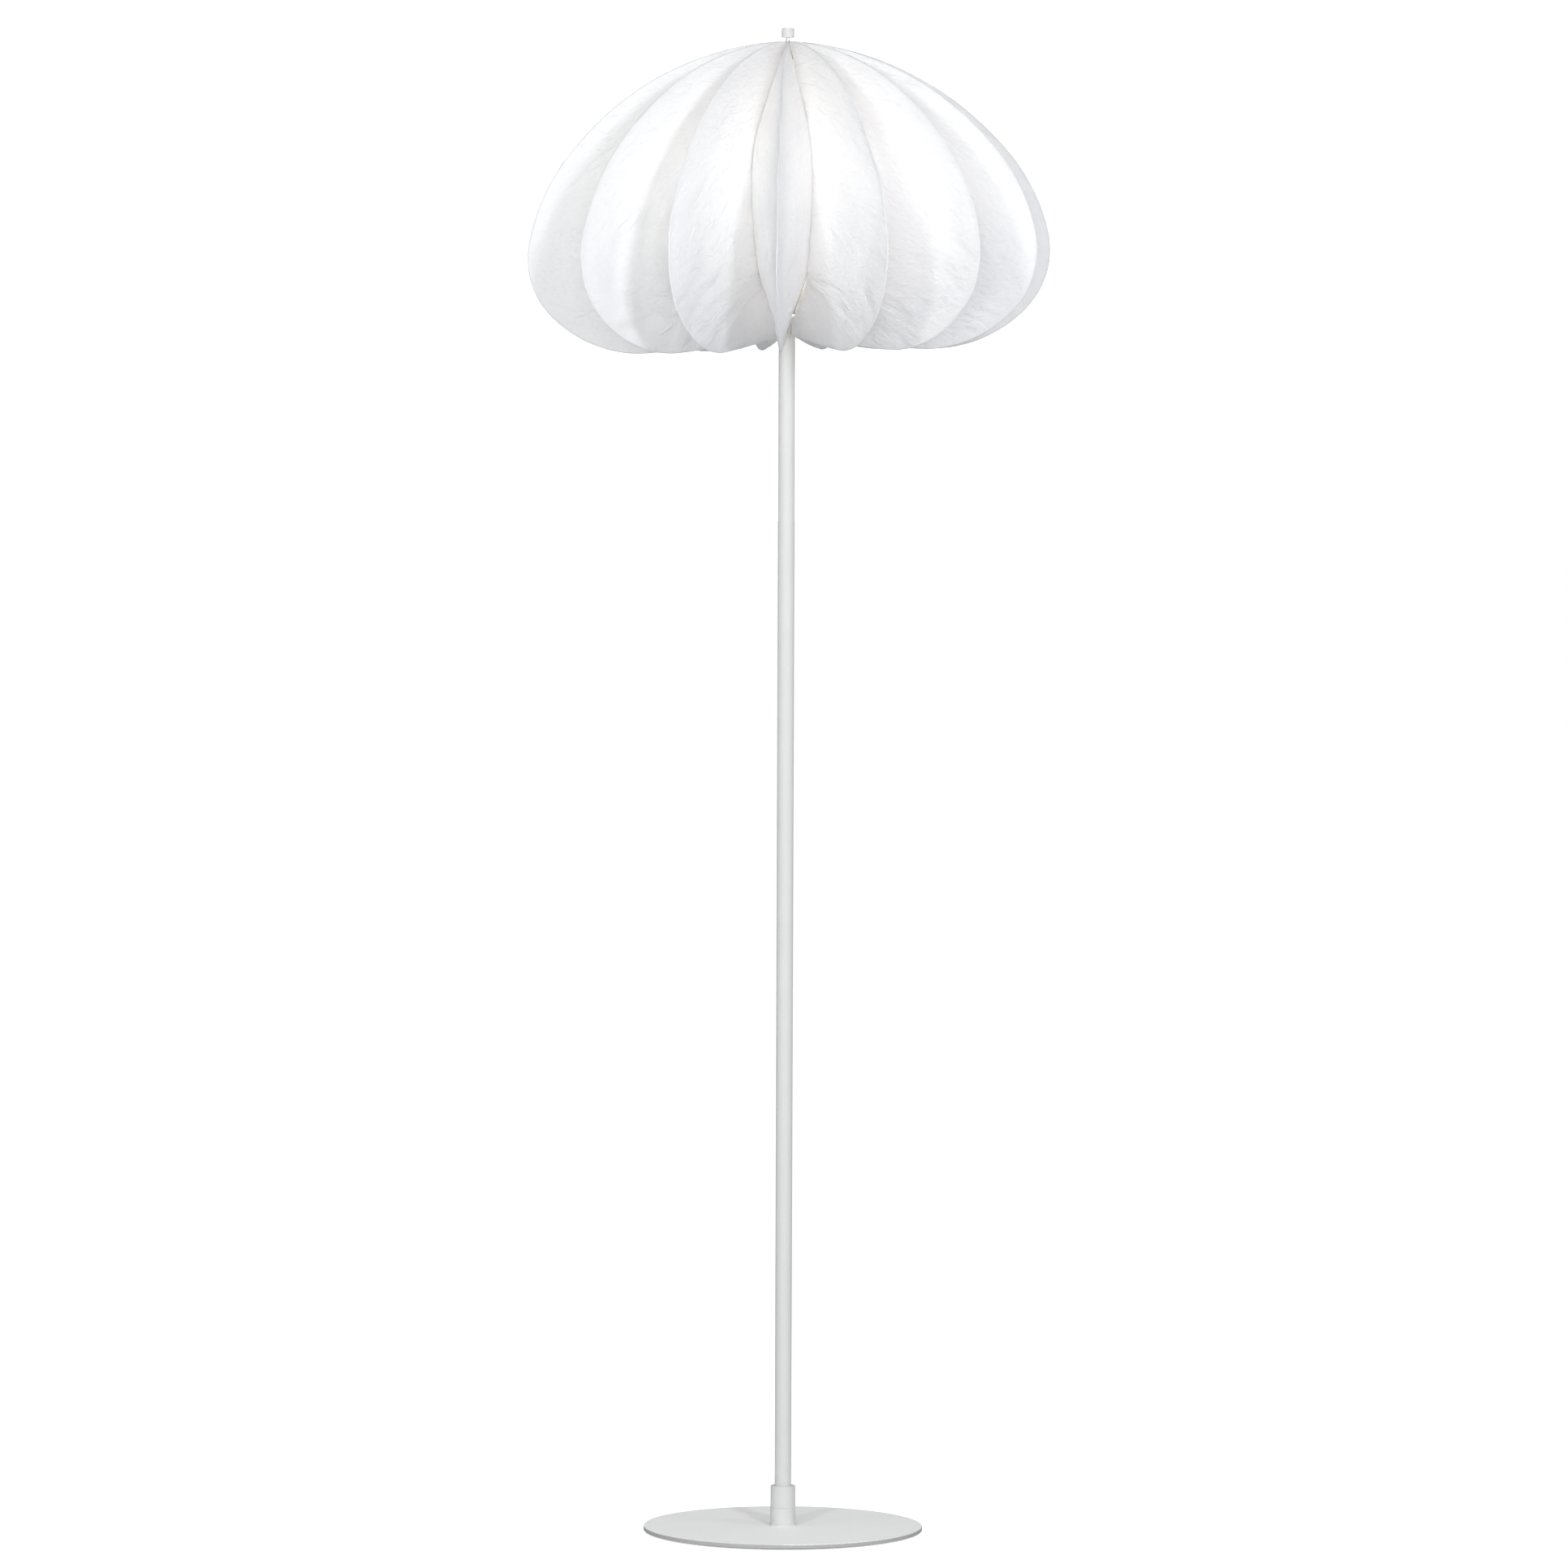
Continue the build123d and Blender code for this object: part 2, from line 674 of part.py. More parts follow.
with BuildPart() as shade_eyelet:
    # the leaves' tips lie on its sloping skirt, round its barrel
    with BuildSketch(Plane.XZ):
        with BuildLine():
            Polyline(
                (eyelet_r, hub_top_z + face_gap),
                (eyelet_skirt_d / 2, hub_top_z + face_gap),
                (eyelet_skirt_d / 2, skirt_rim_z),
                (barrel_r, skirt_top_z + (shade_top_r - barrel_r) * skirt_slope),
                (barrel_r, shade_top_z),
                (eyelet_r, shade_top_z),
                close=True,
            )
        make_face()
    revolve(axis=Axis.Z)
shade_eyelet.part.label = "shade_eyelet"
export_step(shade_eyelet.part, "parts/shade_eyelet.step")

with BuildPart() as mouth_cord:
    # draws the leaves' lower ends together round the pole
    mouth_cord_r = mouth_r - seat_gap - mouth_cord_d / 2
    with Locations((0, 0, mouth_z + 1)):
        Torus(mouth_cord_r, mouth_cord_d / 2)
mouth_cord.part.label = "mouth_cord"
export_step(mouth_cord.part, "parts/mouth_cord.step")

print("lamp height", round(finial_z + finial_height, 1))
print("shade top", round(shade_top_z, 1), "mouth radius", round(mouth_r, 2), "scale", round(outline_scale, 4))
print("finial lift", round(finial_thread_depth - face_gap, 2))
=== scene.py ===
import json
import math

import bmesh
import bpy
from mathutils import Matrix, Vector


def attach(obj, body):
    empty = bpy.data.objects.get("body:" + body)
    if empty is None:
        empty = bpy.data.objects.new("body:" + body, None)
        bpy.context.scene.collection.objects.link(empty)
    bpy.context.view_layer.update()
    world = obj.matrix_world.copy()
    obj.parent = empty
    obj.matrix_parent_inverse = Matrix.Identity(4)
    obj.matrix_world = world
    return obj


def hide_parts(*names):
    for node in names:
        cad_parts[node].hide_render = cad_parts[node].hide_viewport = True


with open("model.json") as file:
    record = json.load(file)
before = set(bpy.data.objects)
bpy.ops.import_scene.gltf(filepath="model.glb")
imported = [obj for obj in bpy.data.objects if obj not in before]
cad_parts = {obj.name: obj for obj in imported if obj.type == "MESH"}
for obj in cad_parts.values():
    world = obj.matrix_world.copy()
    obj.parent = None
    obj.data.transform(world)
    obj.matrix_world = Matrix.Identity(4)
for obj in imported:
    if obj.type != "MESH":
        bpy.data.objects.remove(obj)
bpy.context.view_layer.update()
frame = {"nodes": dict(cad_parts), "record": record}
cadNodes = frame["nodes"]
scene = bpy.context.scene
mm = 0.001


def linearColour(hexCode):
    # sRGB hex to the linear colour that shaders want
    parts = [int(hexCode[i : i + 2], 16) / 255 for i in (1, 3, 5)]
    return [p / 12.92 if p <= 0.04045 else ((p + 0.055) / 1.055) ** 2.4 for p in parts] + [1.0]


def liveOutput(node):
    # the first output that the node's settings leave switched on
    return next(socket for socket in node.outputs if socket.enabled)


def addNode(tree, kind, inputs=None, **settings):
    # one node with its settings. An input takes a value, a socket, or a node for its live output
    node = tree.nodes.new(kind)
    for name, value in settings.items():
        setattr(node, name, value)
    for name, value in (inputs or {}).items():
        if isinstance(name, int):
            socket = node.inputs[name]
        else:
            socket = next(s for s in node.inputs if s.name == name and s.enabled)
        if isinstance(value, bpy.types.Node):
            value = liveOutput(value)
        if isinstance(value, bpy.types.NodeSocket):
            tree.links.new(value, socket)
        else:
            socket.default_value = value
    return node


def calc(tree, operation, *values):
    # a maths node on plain numbers
    return addNode(tree, "ShaderNodeMath", dict(enumerate(values)), operation=operation)


def vectorCalc(tree, operation, *values):
    # a maths node on vectors
    return addNode(tree, "ShaderNodeVectorMath", dict(enumerate(values)), operation=operation)


def scaleVector(tree, vector, factor):
    return addNode(tree, "ShaderNodeVectorMath", {0: vector, "Scale": factor}, operation="SCALE")


def blend(tree, kind, factor, a, b):
    # a at factor 0, b at factor 1
    return addNode(tree, "ShaderNodeMix", {"Factor": factor, "A": a, "B": b}, data_type=kind)


def ease(tree, value, start, end, low=0.0, high=1.0):
    # goes smoothly from low to high while the value goes from start to end
    ranges = {"Value": value, "From Min": start, "From Max": end, "To Min": low, "To Max": high}
    return addNode(tree, "ShaderNodeMapRange", ranges, interpolation_type="SMOOTHSTEP")


# camera

view = {
    "distance": 10.1,  # metres in front of the lamp's axis
    "height": 1.42,  # metres
    "lookDown": 3.18,  # degrees
    "lens": 203.1,  # mm, on a 36 mm sensor
    "sensor": 36,
    "side": -0.0035,  # metres to the right
    "roll": -0.2,  # degrees
    "farthest": 100,  # metres
}

cameraData = bpy.data.cameras.new("camera")
cameraData.sensor_width = view["sensor"]
cameraData.lens = view["lens"]
cameraData.clip_end = view["farthest"]
camera = bpy.data.objects.new("camera", cameraData)
camera.location = (view["side"], -view["distance"], view["height"])
camera.rotation_euler = (math.radians(90 - view["lookDown"]), math.radians(view["roll"]), 0)
scene.collection.objects.link(camera)
scene.camera = camera

# light and floor

studio = {
    # brightness of the room by direction: straight down, a little down, a little up, straight up
    "frontWalls": (0.8, 0.48, 0.42, 0.54),
    "backWalls": (0.62, 0.3, 0.46, 0.52),
    "wallStops": (0.125, 0.375, 0.625, 0.875),  # where those four stand, 0 straight down and 1 straight up
    "wallBlend": 0.3,  # how far to each side of the middle the front walls turn into the back walls
    # degrees from the camera's side, distance and height in metres, width and height in metres, watts, colour
    "lamps": {
        "softboxLeft": (-22, 4.0, 2.35, 0.4, 0.4, 39, "#FBFFFA"),
        "softboxRight": (20, 4.0, 2.35, 0.4, 0.4, 54, "#F8FAFF"),
        "sideFillLeft": (-60, 4.0, 2.2, 0.8, 0.7, 12, "#FFFFFF"),
        "sideFillRight": (60, 4.0, 2.1, 0.8, 0.7, 21, "#FFFFFF"),
        "frontFill": (-4, 6.0, 1.5, 2.4, 1.8, 104, "#FFFFFF"),
    },
    "aimHeight": 1.1,  # metres
    "floorRadius": 45.0,  # metres
    "floorDrop": 0.5,  # mm under the lamp, so that floor and base pad don't flicker through each other
    "floorSides": 64,
    "domeStep": 10,  # degrees between two rings of the dome
    "paper": "#F6F6F6",
    "floorGlow": 0.55,
    "domeGlow": 1.1,
}

world = bpy.data.worlds.new("studioRoom")
world.use_nodes = True
sky = world.node_tree
direction = addNode(sky, "ShaderNodeTexCoord")
heading = addNode(sky, "ShaderNodeSeparateXYZ", {0: direction.outputs["Generated"]})
upShare = addNode(sky, "ShaderNodeMapRange", {"Value": heading.outputs["Z"], "From Min": -1.0, "From Max": 1.0})
walls = []
for levels in (studio["frontWalls"], studio["backWalls"]):
    wall = addNode(sky, "ShaderNodeValToRGB", {"Fac": upShare})
    for position in studio["wallStops"][1:3]:
        wall.color_ramp.elements.new(position)
    for stop, position, bright in zip(wall.color_ramp.elements, studio["wallStops"], levels):
        stop.position = position
        stop.color = (bright, bright, bright, 1)
    walls.append(wall)
behindFrom = {"Value": heading.outputs["Y"], "From Min": -studio["wallBlend"], "From Max": studio["wallBlend"]}
behind = addNode(sky, "ShaderNodeMapRange", behindFrom)
room = blend(sky, "RGBA", behind, walls[0], walls[1])
sky.links.new(liveOutput(room), sky.nodes["Background"].inputs["Color"])
scene.world = world
scene.view_settings.view_transform = "Standard"
scene.view_settings.look = "None"

for name, (azimuth, away, height, wide, tall, watts, colour) in studio["lamps"].items():
    lampData = bpy.data.lights.new(name, "AREA")
    lampData.shape = "RECTANGLE"
    lampData.size, lampData.size_y = wide, tall
    lampData.energy = watts
    lampData.color = linearColour(colour)[:3]
    lamp = bpy.data.objects.new(name, lampData)
    turn = math.radians(azimuth)
    lamp.location = (math.sin(turn) * away, -math.cos(turn) * away, height)
    lampAim = Vector((0, 0, studio["aimHeight"])) - lamp.location
    lamp.rotation_euler = lampAim.to_track_quat("-Z", "Y").to_euler()
    scene.collection.objects.link(lamp)

# a white paper floor and a white dome over it. Only the camera sees them, so the room's own light shapes the lamp
sides = studio["floorSides"]
ringPoints = [(math.cos(i * math.tau / sides), math.sin(i * math.tau / sides)) for i in range(sides)]
ringAngles = [math.radians(degrees) for degrees in range(0, 90, studio["domeStep"])]
rings = [(studio["floorRadius"] * math.cos(a), studio["floorRadius"] * math.sin(a)) for a in ringAngles]
places = [(x * r, y * r, z - studio["floorDrop"] * mm) for r, z in rings for x, y in ringPoints]
places.append((0, 0, studio["floorRadius"]))
domeFaces = [
    (j * sides + i, j * sides + (i + 1) % sides, (j + 1) * sides + (i + 1) % sides, (j + 1) * sides + i)
    for j in range(len(rings) - 1)
    for i in range(sides)
]
lastRing = (len(rings) - 1) * sides
domeFaces += [(lastRing + i, lastRing + (i + 1) % sides, len(places) - 1) for i in range(sides)]
for name, corners, faces, glow in (
    ("paperFloor", places[:sides], [tuple(range(sides))], studio["floorGlow"]),
    ("paperDome", places, domeFaces, studio["domeGlow"]),
):
    stageMesh = bpy.data.meshes.new(name)
    stageMesh.from_pydata(corners, [], faces)
    stagePiece = bpy.data.objects.new(name, stageMesh)
    scene.collection.objects.link(stagePiece)
    stagePaint = bpy.data.materials.new(name + "White")
    stagePaint.use_nodes = True
    stageShader = stagePaint.node_tree.nodes["Principled BSDF"]
    stageShader.inputs["Base Color"].default_value = linearColour(studio["paper"])
    stageShader.inputs["Roughness"].default_value = 1.0
    stageShader.inputs["Specular IOR Level"].default_value = 0.0
    stageShader.inputs["Emission Color"].default_value = (1, 1, 1, 1)
    stageShader.inputs["Emission Strength"].default_value = glow
    stageMesh.materials.append(stagePaint)
    stagePiece.visible_diffuse = stagePiece.visible_glossy = False
    stagePiece.visible_transmission = stagePiece.visible_shadow = False
print("camera, floor and lights are in place")


# materials. Colours are sRGB hex

looks = {
    # Sizes and depths are in mm. "tone" gives the size of the blotches and the two colours they wander between,
    # "grain" the size and depth of fine bumps, and "sheen" the size of the patches and their two roughnesses
    "white_powder_coat": {  # polyester powder coat, sprayed and stoved: an even satin skin, faint orange peel
        "name": "whitePowderCoat",
        "shader": {"IOR": 1.5, "Specular IOR Level": 0.3},
        "tone": (40, "#C7C8C7", "#CCCDCC"),
        "grain": (1.6, 0.03),
        "sheen": (25, 0.58, 0.68),
    },
    "eva_pad": {  # EVA foam, skived: closed cells under a millimetre, no gloss
        "name": "blackEvaFoam",
        "shader": {"IOR": 1.45},
        "tone": (12, "#17171A", "#222225"),
        "cells": (0.9, 0.2),
        "sheen": (8, 0.82, 0.95),
    },
    "zinc_steel": {  # zinc-plated steel, passivated: cool grey with a faint crystal pattern
        "name": "zincPlatedSteel",
        "shader": {"Metallic": 1.0},
        "tone": (3, "#AEB1B8", "#C3C5CA"),
        "grain": (0.5, 0.01),
        "sheen": (4, 0.3, 0.42),
    },
    "nickel_plate": {  # nickel plate on drawn steel wire: warm grey and bright, finely grained
        "name": "nickelPlate",
        "shader": {"Metallic": 1.0},
        "tone": (6, "#C2BDB3", "#CFCBC2"),
        "grain": (0.35, 0.006),
        "sheen": (5, 0.18, 0.28),
    },
    "nylon": {  # natural nylon, moulded: milky, lets a little light in
        "name": "naturalNylon",
        "shader": {"IOR": 1.53, "Subsurface Weight": 0.3, "Subsurface Scale": 1.5 * mm},
        "tone": (2, "#DEDACD", "#E8E5DA"),
        "sheen": (2, 0.38, 0.48),
    },
    "grommet_rubber": {  # moulded rubber, pale grey, dull with a fine mould grain
        "name": "paleRubber",
        "shader": {"IOR": 1.5},
        "tone": (4, "#C6C7C5", "#D0D1CF"),
        "grain": (0.4, 0.02),
        "sheen": (3, 0.55, 0.68),
    },
    "lead_sheath": {  # extruded PVC sheath: smooth, with a soft gloss
        "name": "whitePvcSheath",
        "shader": {"IOR": 1.54},
        "tone": (9, "#D8D8D6", "#E0E0DE"),
        "grain": (1.2, 0.01),
        "sheen": (6, 0.34, 0.44),
    },
    "holder_plastic": {  # moulded thermoplastic polyester: hard, glossy, with slight flow ripples
        "name": "glossyPolyester",
        "shader": {"IOR": 1.57},
        "tone": (15, "#E0DFDA", "#E7E6E1"),
        "grain": (6, 0.02),
        "sheen": (10, 0.16, 0.24),
    },
    "holder_ceramic": {  # unglazed steatite: fired ceramic, dry and speckled
        "name": "steatiteCeramic",
        "shader": {"IOR": 1.6},
        "tone": (0.8, "#CFC8B8", "#DDD7C9"),
        "grain": (0.4, 0.02),
        "sheen": (2, 0.55, 0.7),
    },
    "contact_brass": {  # pressed brass sheet, slightly tarnished
        "name": "pressedBrass",
        "shader": {"Metallic": 1.0},
        "tone": (4, "#B8924A", "#D2B06A"),
        "grain": (0.5, 0.008),
        "sheen": (3, 0.24, 0.38),
    },
    "bulb_cap_metal": {  # nickel-plated aluminium cap with a rolled thread
        "name": "platedCap",
        "shader": {"Metallic": 1.0},
        "tone": (3, "#C6C6C6", "#D6D6D5"),
        "thread": (3.6, 0.8),
        "sheen": (4, 0.2, 0.32),
    },
    "bulb_insulator_black": {  # black glass insulator, moulded
        "name": "blackGlass",
        "shader": {"IOR": 1.52},
        "tone": (2, "#08080A", "#101013"),
        "sheen": (2, 0.06, 0.14),
    },
    "bulb_body_white": {  # white polycarbonate bulb body, satin moulded
        "name": "whitePolycarbonate",
        "shader": {"IOR": 1.58},
        "tone": (12, "#E3E3E0", "#EAEAE8"),
        "grain": (0.6, 0.01),
        "sheen": (8, 0.3, 0.4),
    },
    "bulb_opal": {  # opal polycarbonate diffuser, lit from inside: an even warm glow
        "name": "opalDiffuser",
        "shader": {"IOR": 1.58, "Emission Color": linearColour("#FFEEDD"), "Emission Strength": 86.0},
        "tone": (14, "#F1E9D8", "#F7F0E2"),
        "sheen": (9, 0.32, 0.42),
    },
    "shade_cord": {  # polyester cord: chalky white. Its twist is in the mesh
        "name": "twistedPolyesterCord",
        "shader": {"IOR": 1.5, "Sheen Weight": 0.3},
        "tone": (1.5, "#D9D8D3", "#E6E5E1"),
        "grain": (0.15, 0.03),
        "sheen": (1, 0.7, 0.85),
    },
    "sewing_thread": {  # polyester sewing thread
        "name": "whiteSewingThread",
        "shader": {"IOR": 1.5, "Sheen Weight": 0.2},
        "tone": (0.6, "#D6D7D6", "#E4E4E3"),
        "sheen": (0.5, 0.5, 0.65),
    },
}

# the plate's powder coat: the same white coat as the tube's, with painted light and shade on it. The flat is
# painted lighter than the tube's coat as painted light, and the rim is painted darker as painted shade
plate = {
    "name": "platePowderCoat",
    "shader": {"IOR": 1.5, "Specular IOR Level": 0.3},
    "flat": (40, "#EDEEED", "#F1F2F1"),
    "rim": "#A9AAA9",
    "flatFrom": (0.3, 0.9),  # how far up the surface faces where the rim's painted shade ends and where the flat's painted light is full
    "grain": (1.6, 0.03),
    "sheen": (25, 0.58, 0.68),
}

# spun nonwoven polyester, calendered: paper-like and white, with cloudy fibres, creases from handling, and light
# that comes through it
cloth = {
    "name": "spunNonwovenCloth",
    "shader": {"IOR": 1.45},
    "tone": (5, "#F0F0F1", "#F8F8F9"),
    "sheen": (6, 0.68, 0.8),
    "warp": (22, 0.02),  # size in mm and reach in metres of the drift that bends the bumps
    # size and depth in mm, detail, and whether it is sharp, as paper is along a crease
    "bumps": ((1.1, 0.14, 3.0, False), (6, 0.6, 2.0, True), (18, 3.3, 2.0, True)),
    "through": 0.4,
    "throughTint": "#F5F8FB",
}


def newFinish(look, coordinates="Object"):
    # a material with the look's plain values on its one principled shader, and where on the piece it is looked up
    material = bpy.data.materials.new(look["name"])
    material.use_nodes = True
    shader = material.node_tree.nodes["Principled BSDF"]
    for socket, value in look["shader"].items():
        shader.inputs[socket].default_value = value
    place = addNode(material.node_tree, "ShaderNodeTexCoord").outputs[coordinates]
    return material, material.node_tree, shader, place


def mottle(tree, place, size, low, high, **more):
    # cloudy tone between two close colours, blotches of the given size in mm
    clouds = {"Vector": place, "Scale": 1 / (size * mm), "Detail": 3.0, **more}
    cloudy = addNode(tree, "ShaderNodeTexNoise", clouds)
    return blend(tree, "RGBA", cloudy.outputs["Fac"], linearColour(low), linearColour(high))


def relief(tree, shader, height, depth):
    # bumps of the given depth in mm
    bump = addNode(tree, "ShaderNodeBump", {"Height": height, "Distance": depth * mm})
    tree.links.new(bump.outputs["Normal"], shader.inputs["Normal"])


def grain(tree, shader, place, size, depth):
    # fine bumps of the given size and depth in mm
    bumps = {"Vector": place, "Scale": 1 / (size * mm), "Detail": 2.0, "Roughness": 0.6}
    relief(tree, shader, addNode(tree, "ShaderNodeTexNoise", bumps).outputs["Fac"], depth)


def wanderSheen(tree, shader, place, size, low, high):
    # roughness that wanders between two values, in patches of the given size in mm
    patches = addNode(tree, "ShaderNodeTexNoise", {"Vector": place, "Scale": 1 / (size * mm), "Detail": 2.0})
    spread = {"Value": patches.outputs["Fac"], "To Min": low, "To Max": high}
    spreadOut = addNode(tree, "ShaderNodeMapRange", spread)
    tree.links.new(spreadOut.outputs["Result"], shader.inputs["Roughness"])


blotchRoughness = 0.55
textureWaves = 3.18  # crests to the metre in the wave texture at scale 1
finishes = {}
for slotName, look in looks.items():
    material, tree, shader, place = newFinish(look)
    tone = mottle(tree, place, *look["tone"], Roughness=blotchRoughness)
    tree.links.new(liveOutput(tone), shader.inputs["Base Color"])
    if "grain" in look:
        grain(tree, shader, place, *look["grain"])
    if "cells" in look:
        size, depth = look["cells"]
        cells = addNode(tree, "ShaderNodeTexVoronoi", {"Vector": place, "Scale": 1 / (size * mm)})
        relief(tree, shader, cells.outputs["Distance"], depth)
    if "thread" in look:
        pitch, depth = look["thread"]
        crests = {"Vector": place, "Scale": 1 / (pitch * mm * textureWaves)}
        rolled = addNode(tree, "ShaderNodeTexWave", crests, bands_direction="Z", wave_profile="SIN")
        relief(tree, shader, rolled.outputs["Fac"], depth)
    wanderSheen(tree, shader, place, *look["sheen"])
    finishes[slotName] = material

# painted light and shade on the plate: the tone goes from the rim's painted shade to the flat's painted light, by
# how far up the surface faces
plateCoatPaintedLight, tree, shader, place = newFinish(plate)
flatPaintedLightTone = mottle(tree, place, *plate["flat"])
facing = addNode(tree, "ShaderNodeSeparateXYZ", {0: place.node.outputs["Normal"]})
flatStart, flatFull = plate["flatFrom"]
flatHere = {"Value": facing.outputs["Z"], "From Min": flatStart, "From Max": flatFull}
flat = addNode(tree, "ShaderNodeMapRange", flatHere)
tone = blend(tree, "RGBA", flat, linearColour(plate["rim"]), flatPaintedLightTone)
tree.links.new(liveOutput(tone), shader.inputs["Base Color"])
grain(tree, shader, place, *plate["grain"])
wanderSheen(tree, shader, place, *plate["sheen"])

spunCloth, tree, shader, place = newFinish(cloth, "UV")  # metres on the cloth
tone = mottle(tree, place, *cloth["tone"], Roughness=blotchRoughness)
tree.links.new(liveOutput(tone), shader.inputs["Base Color"])
warpSize, warpReach = cloth["warp"]
warp = addNode(tree, "ShaderNodeTexNoise", {"Vector": place, "Scale": 1 / (warpSize * mm), "Detail": 2.0})
bent = vectorCalc(tree, "MULTIPLY", warp.outputs["Color"], (warpReach, warpReach, 0.0))
bentPlace = vectorCalc(tree, "ADD", place, bent)
bump = None
for size, depth, detail, sharp in cloth["bumps"]:
    folds = {"Vector": bentPlace, "Scale": 1 / (size * mm), "Detail": detail, "Roughness": 0.5}
    height = addNode(tree, "ShaderNodeTexNoise", folds).outputs["Fac"]
    if sharp:  # a ridge where the noise crosses its middle
        height = calc(tree, "ABSOLUTE", calc(tree, "SUBTRACT", height, 0.5))
    under = {"Normal": bump} if bump else {}
    bump = addNode(tree, "ShaderNodeBump", {"Height": height, "Distance": depth * mm, **under})
tree.links.new(bump.outputs["Normal"], shader.inputs["Normal"])
wanderSheen(tree, shader, place, *cloth["sheen"])
through = addNode(tree, "ShaderNodeBsdfTranslucent", {"Color": linearColour(cloth["throughTint"]), "Normal": bump})
both = addNode(tree, "ShaderNodeMixShader", {0: cloth["through"], 1: shader.outputs["BSDF"], 2: through})
tree.links.new(both.outputs[0], tree.nodes["Material Output"].inputs["Surface"])
finishes["shade_fabric"] = spunCloth

for part in frame["record"]["subparts"]:
    node = cadNodes[part["node"]]
    node.data.materials.clear()
    # the base plate takes the copy of the powder coat with painted light and shade, and every other piece takes
    # its slot's finish
    node.data.materials.append(plateCoatPaintedLight if part["node"] == "base_plate" else finishes[part["material_slot"]])
print("materials are on", len(cadNodes), "CAD pieces")


# making pieces


def newTree(name, inputs):
    # an empty geometry tree with named inputs, and its input and output nodes
    tree = bpy.data.node_groups.new(name, "GeometryNodeTree")
    for label, kind in inputs.items():
        tree.interface.new_socket(label, in_out="INPUT", socket_type=kind)
    tree.interface.new_socket("Geometry", in_out="OUTPUT", socket_type="NodeSocketGeometry")
    return tree, tree.nodes.new("NodeGroupInput").outputs, tree.nodes.new("NodeGroupOutput").inputs


def runTree(piece, tree, values):
    # puts the tree on the piece with these input values
    modifier = piece.modifiers.new(tree.name, "NODES")
    modifier.node_group = tree
    for item in tree.interface.items_tree:
        if item.item_type == "SOCKET" and item.in_out == "INPUT" and item.name in values:
            modifier[item.identifier] = values[item.name]


def bakeShape(piece, name):
    # a new object whose plain mesh is the piece as evaluated. The piece itself goes
    bpy.context.view_layer.update()
    graph = bpy.context.evaluated_depsgraph_get()
    shown = piece.evaluated_get(graph)
    mesh = bpy.data.meshes.new_from_object(shown, preserve_all_data_layers=True, depsgraph=graph)
    mesh.name = name
    bpy.data.objects.remove(piece)
    made = bpy.data.objects.new(name, mesh)
    scene.collection.objects.link(made)
    return made


def polyLines(name, lines):
    # a curve object with one straight-run spline per list of points, used only to guide a tree
    data = bpy.data.curves.new(name, "CURVE")
    data.dimensions = "3D"
    for line in lines:
        spline = data.splines.new("POLY")
        spline.points.add(len(line) - 1)
        for point, place in zip(spline.points, line):
            point.co = (*place, 1)
    made = bpy.data.objects.new(name, data)
    scene.collection.objects.link(made)
    return made


# shade cloth

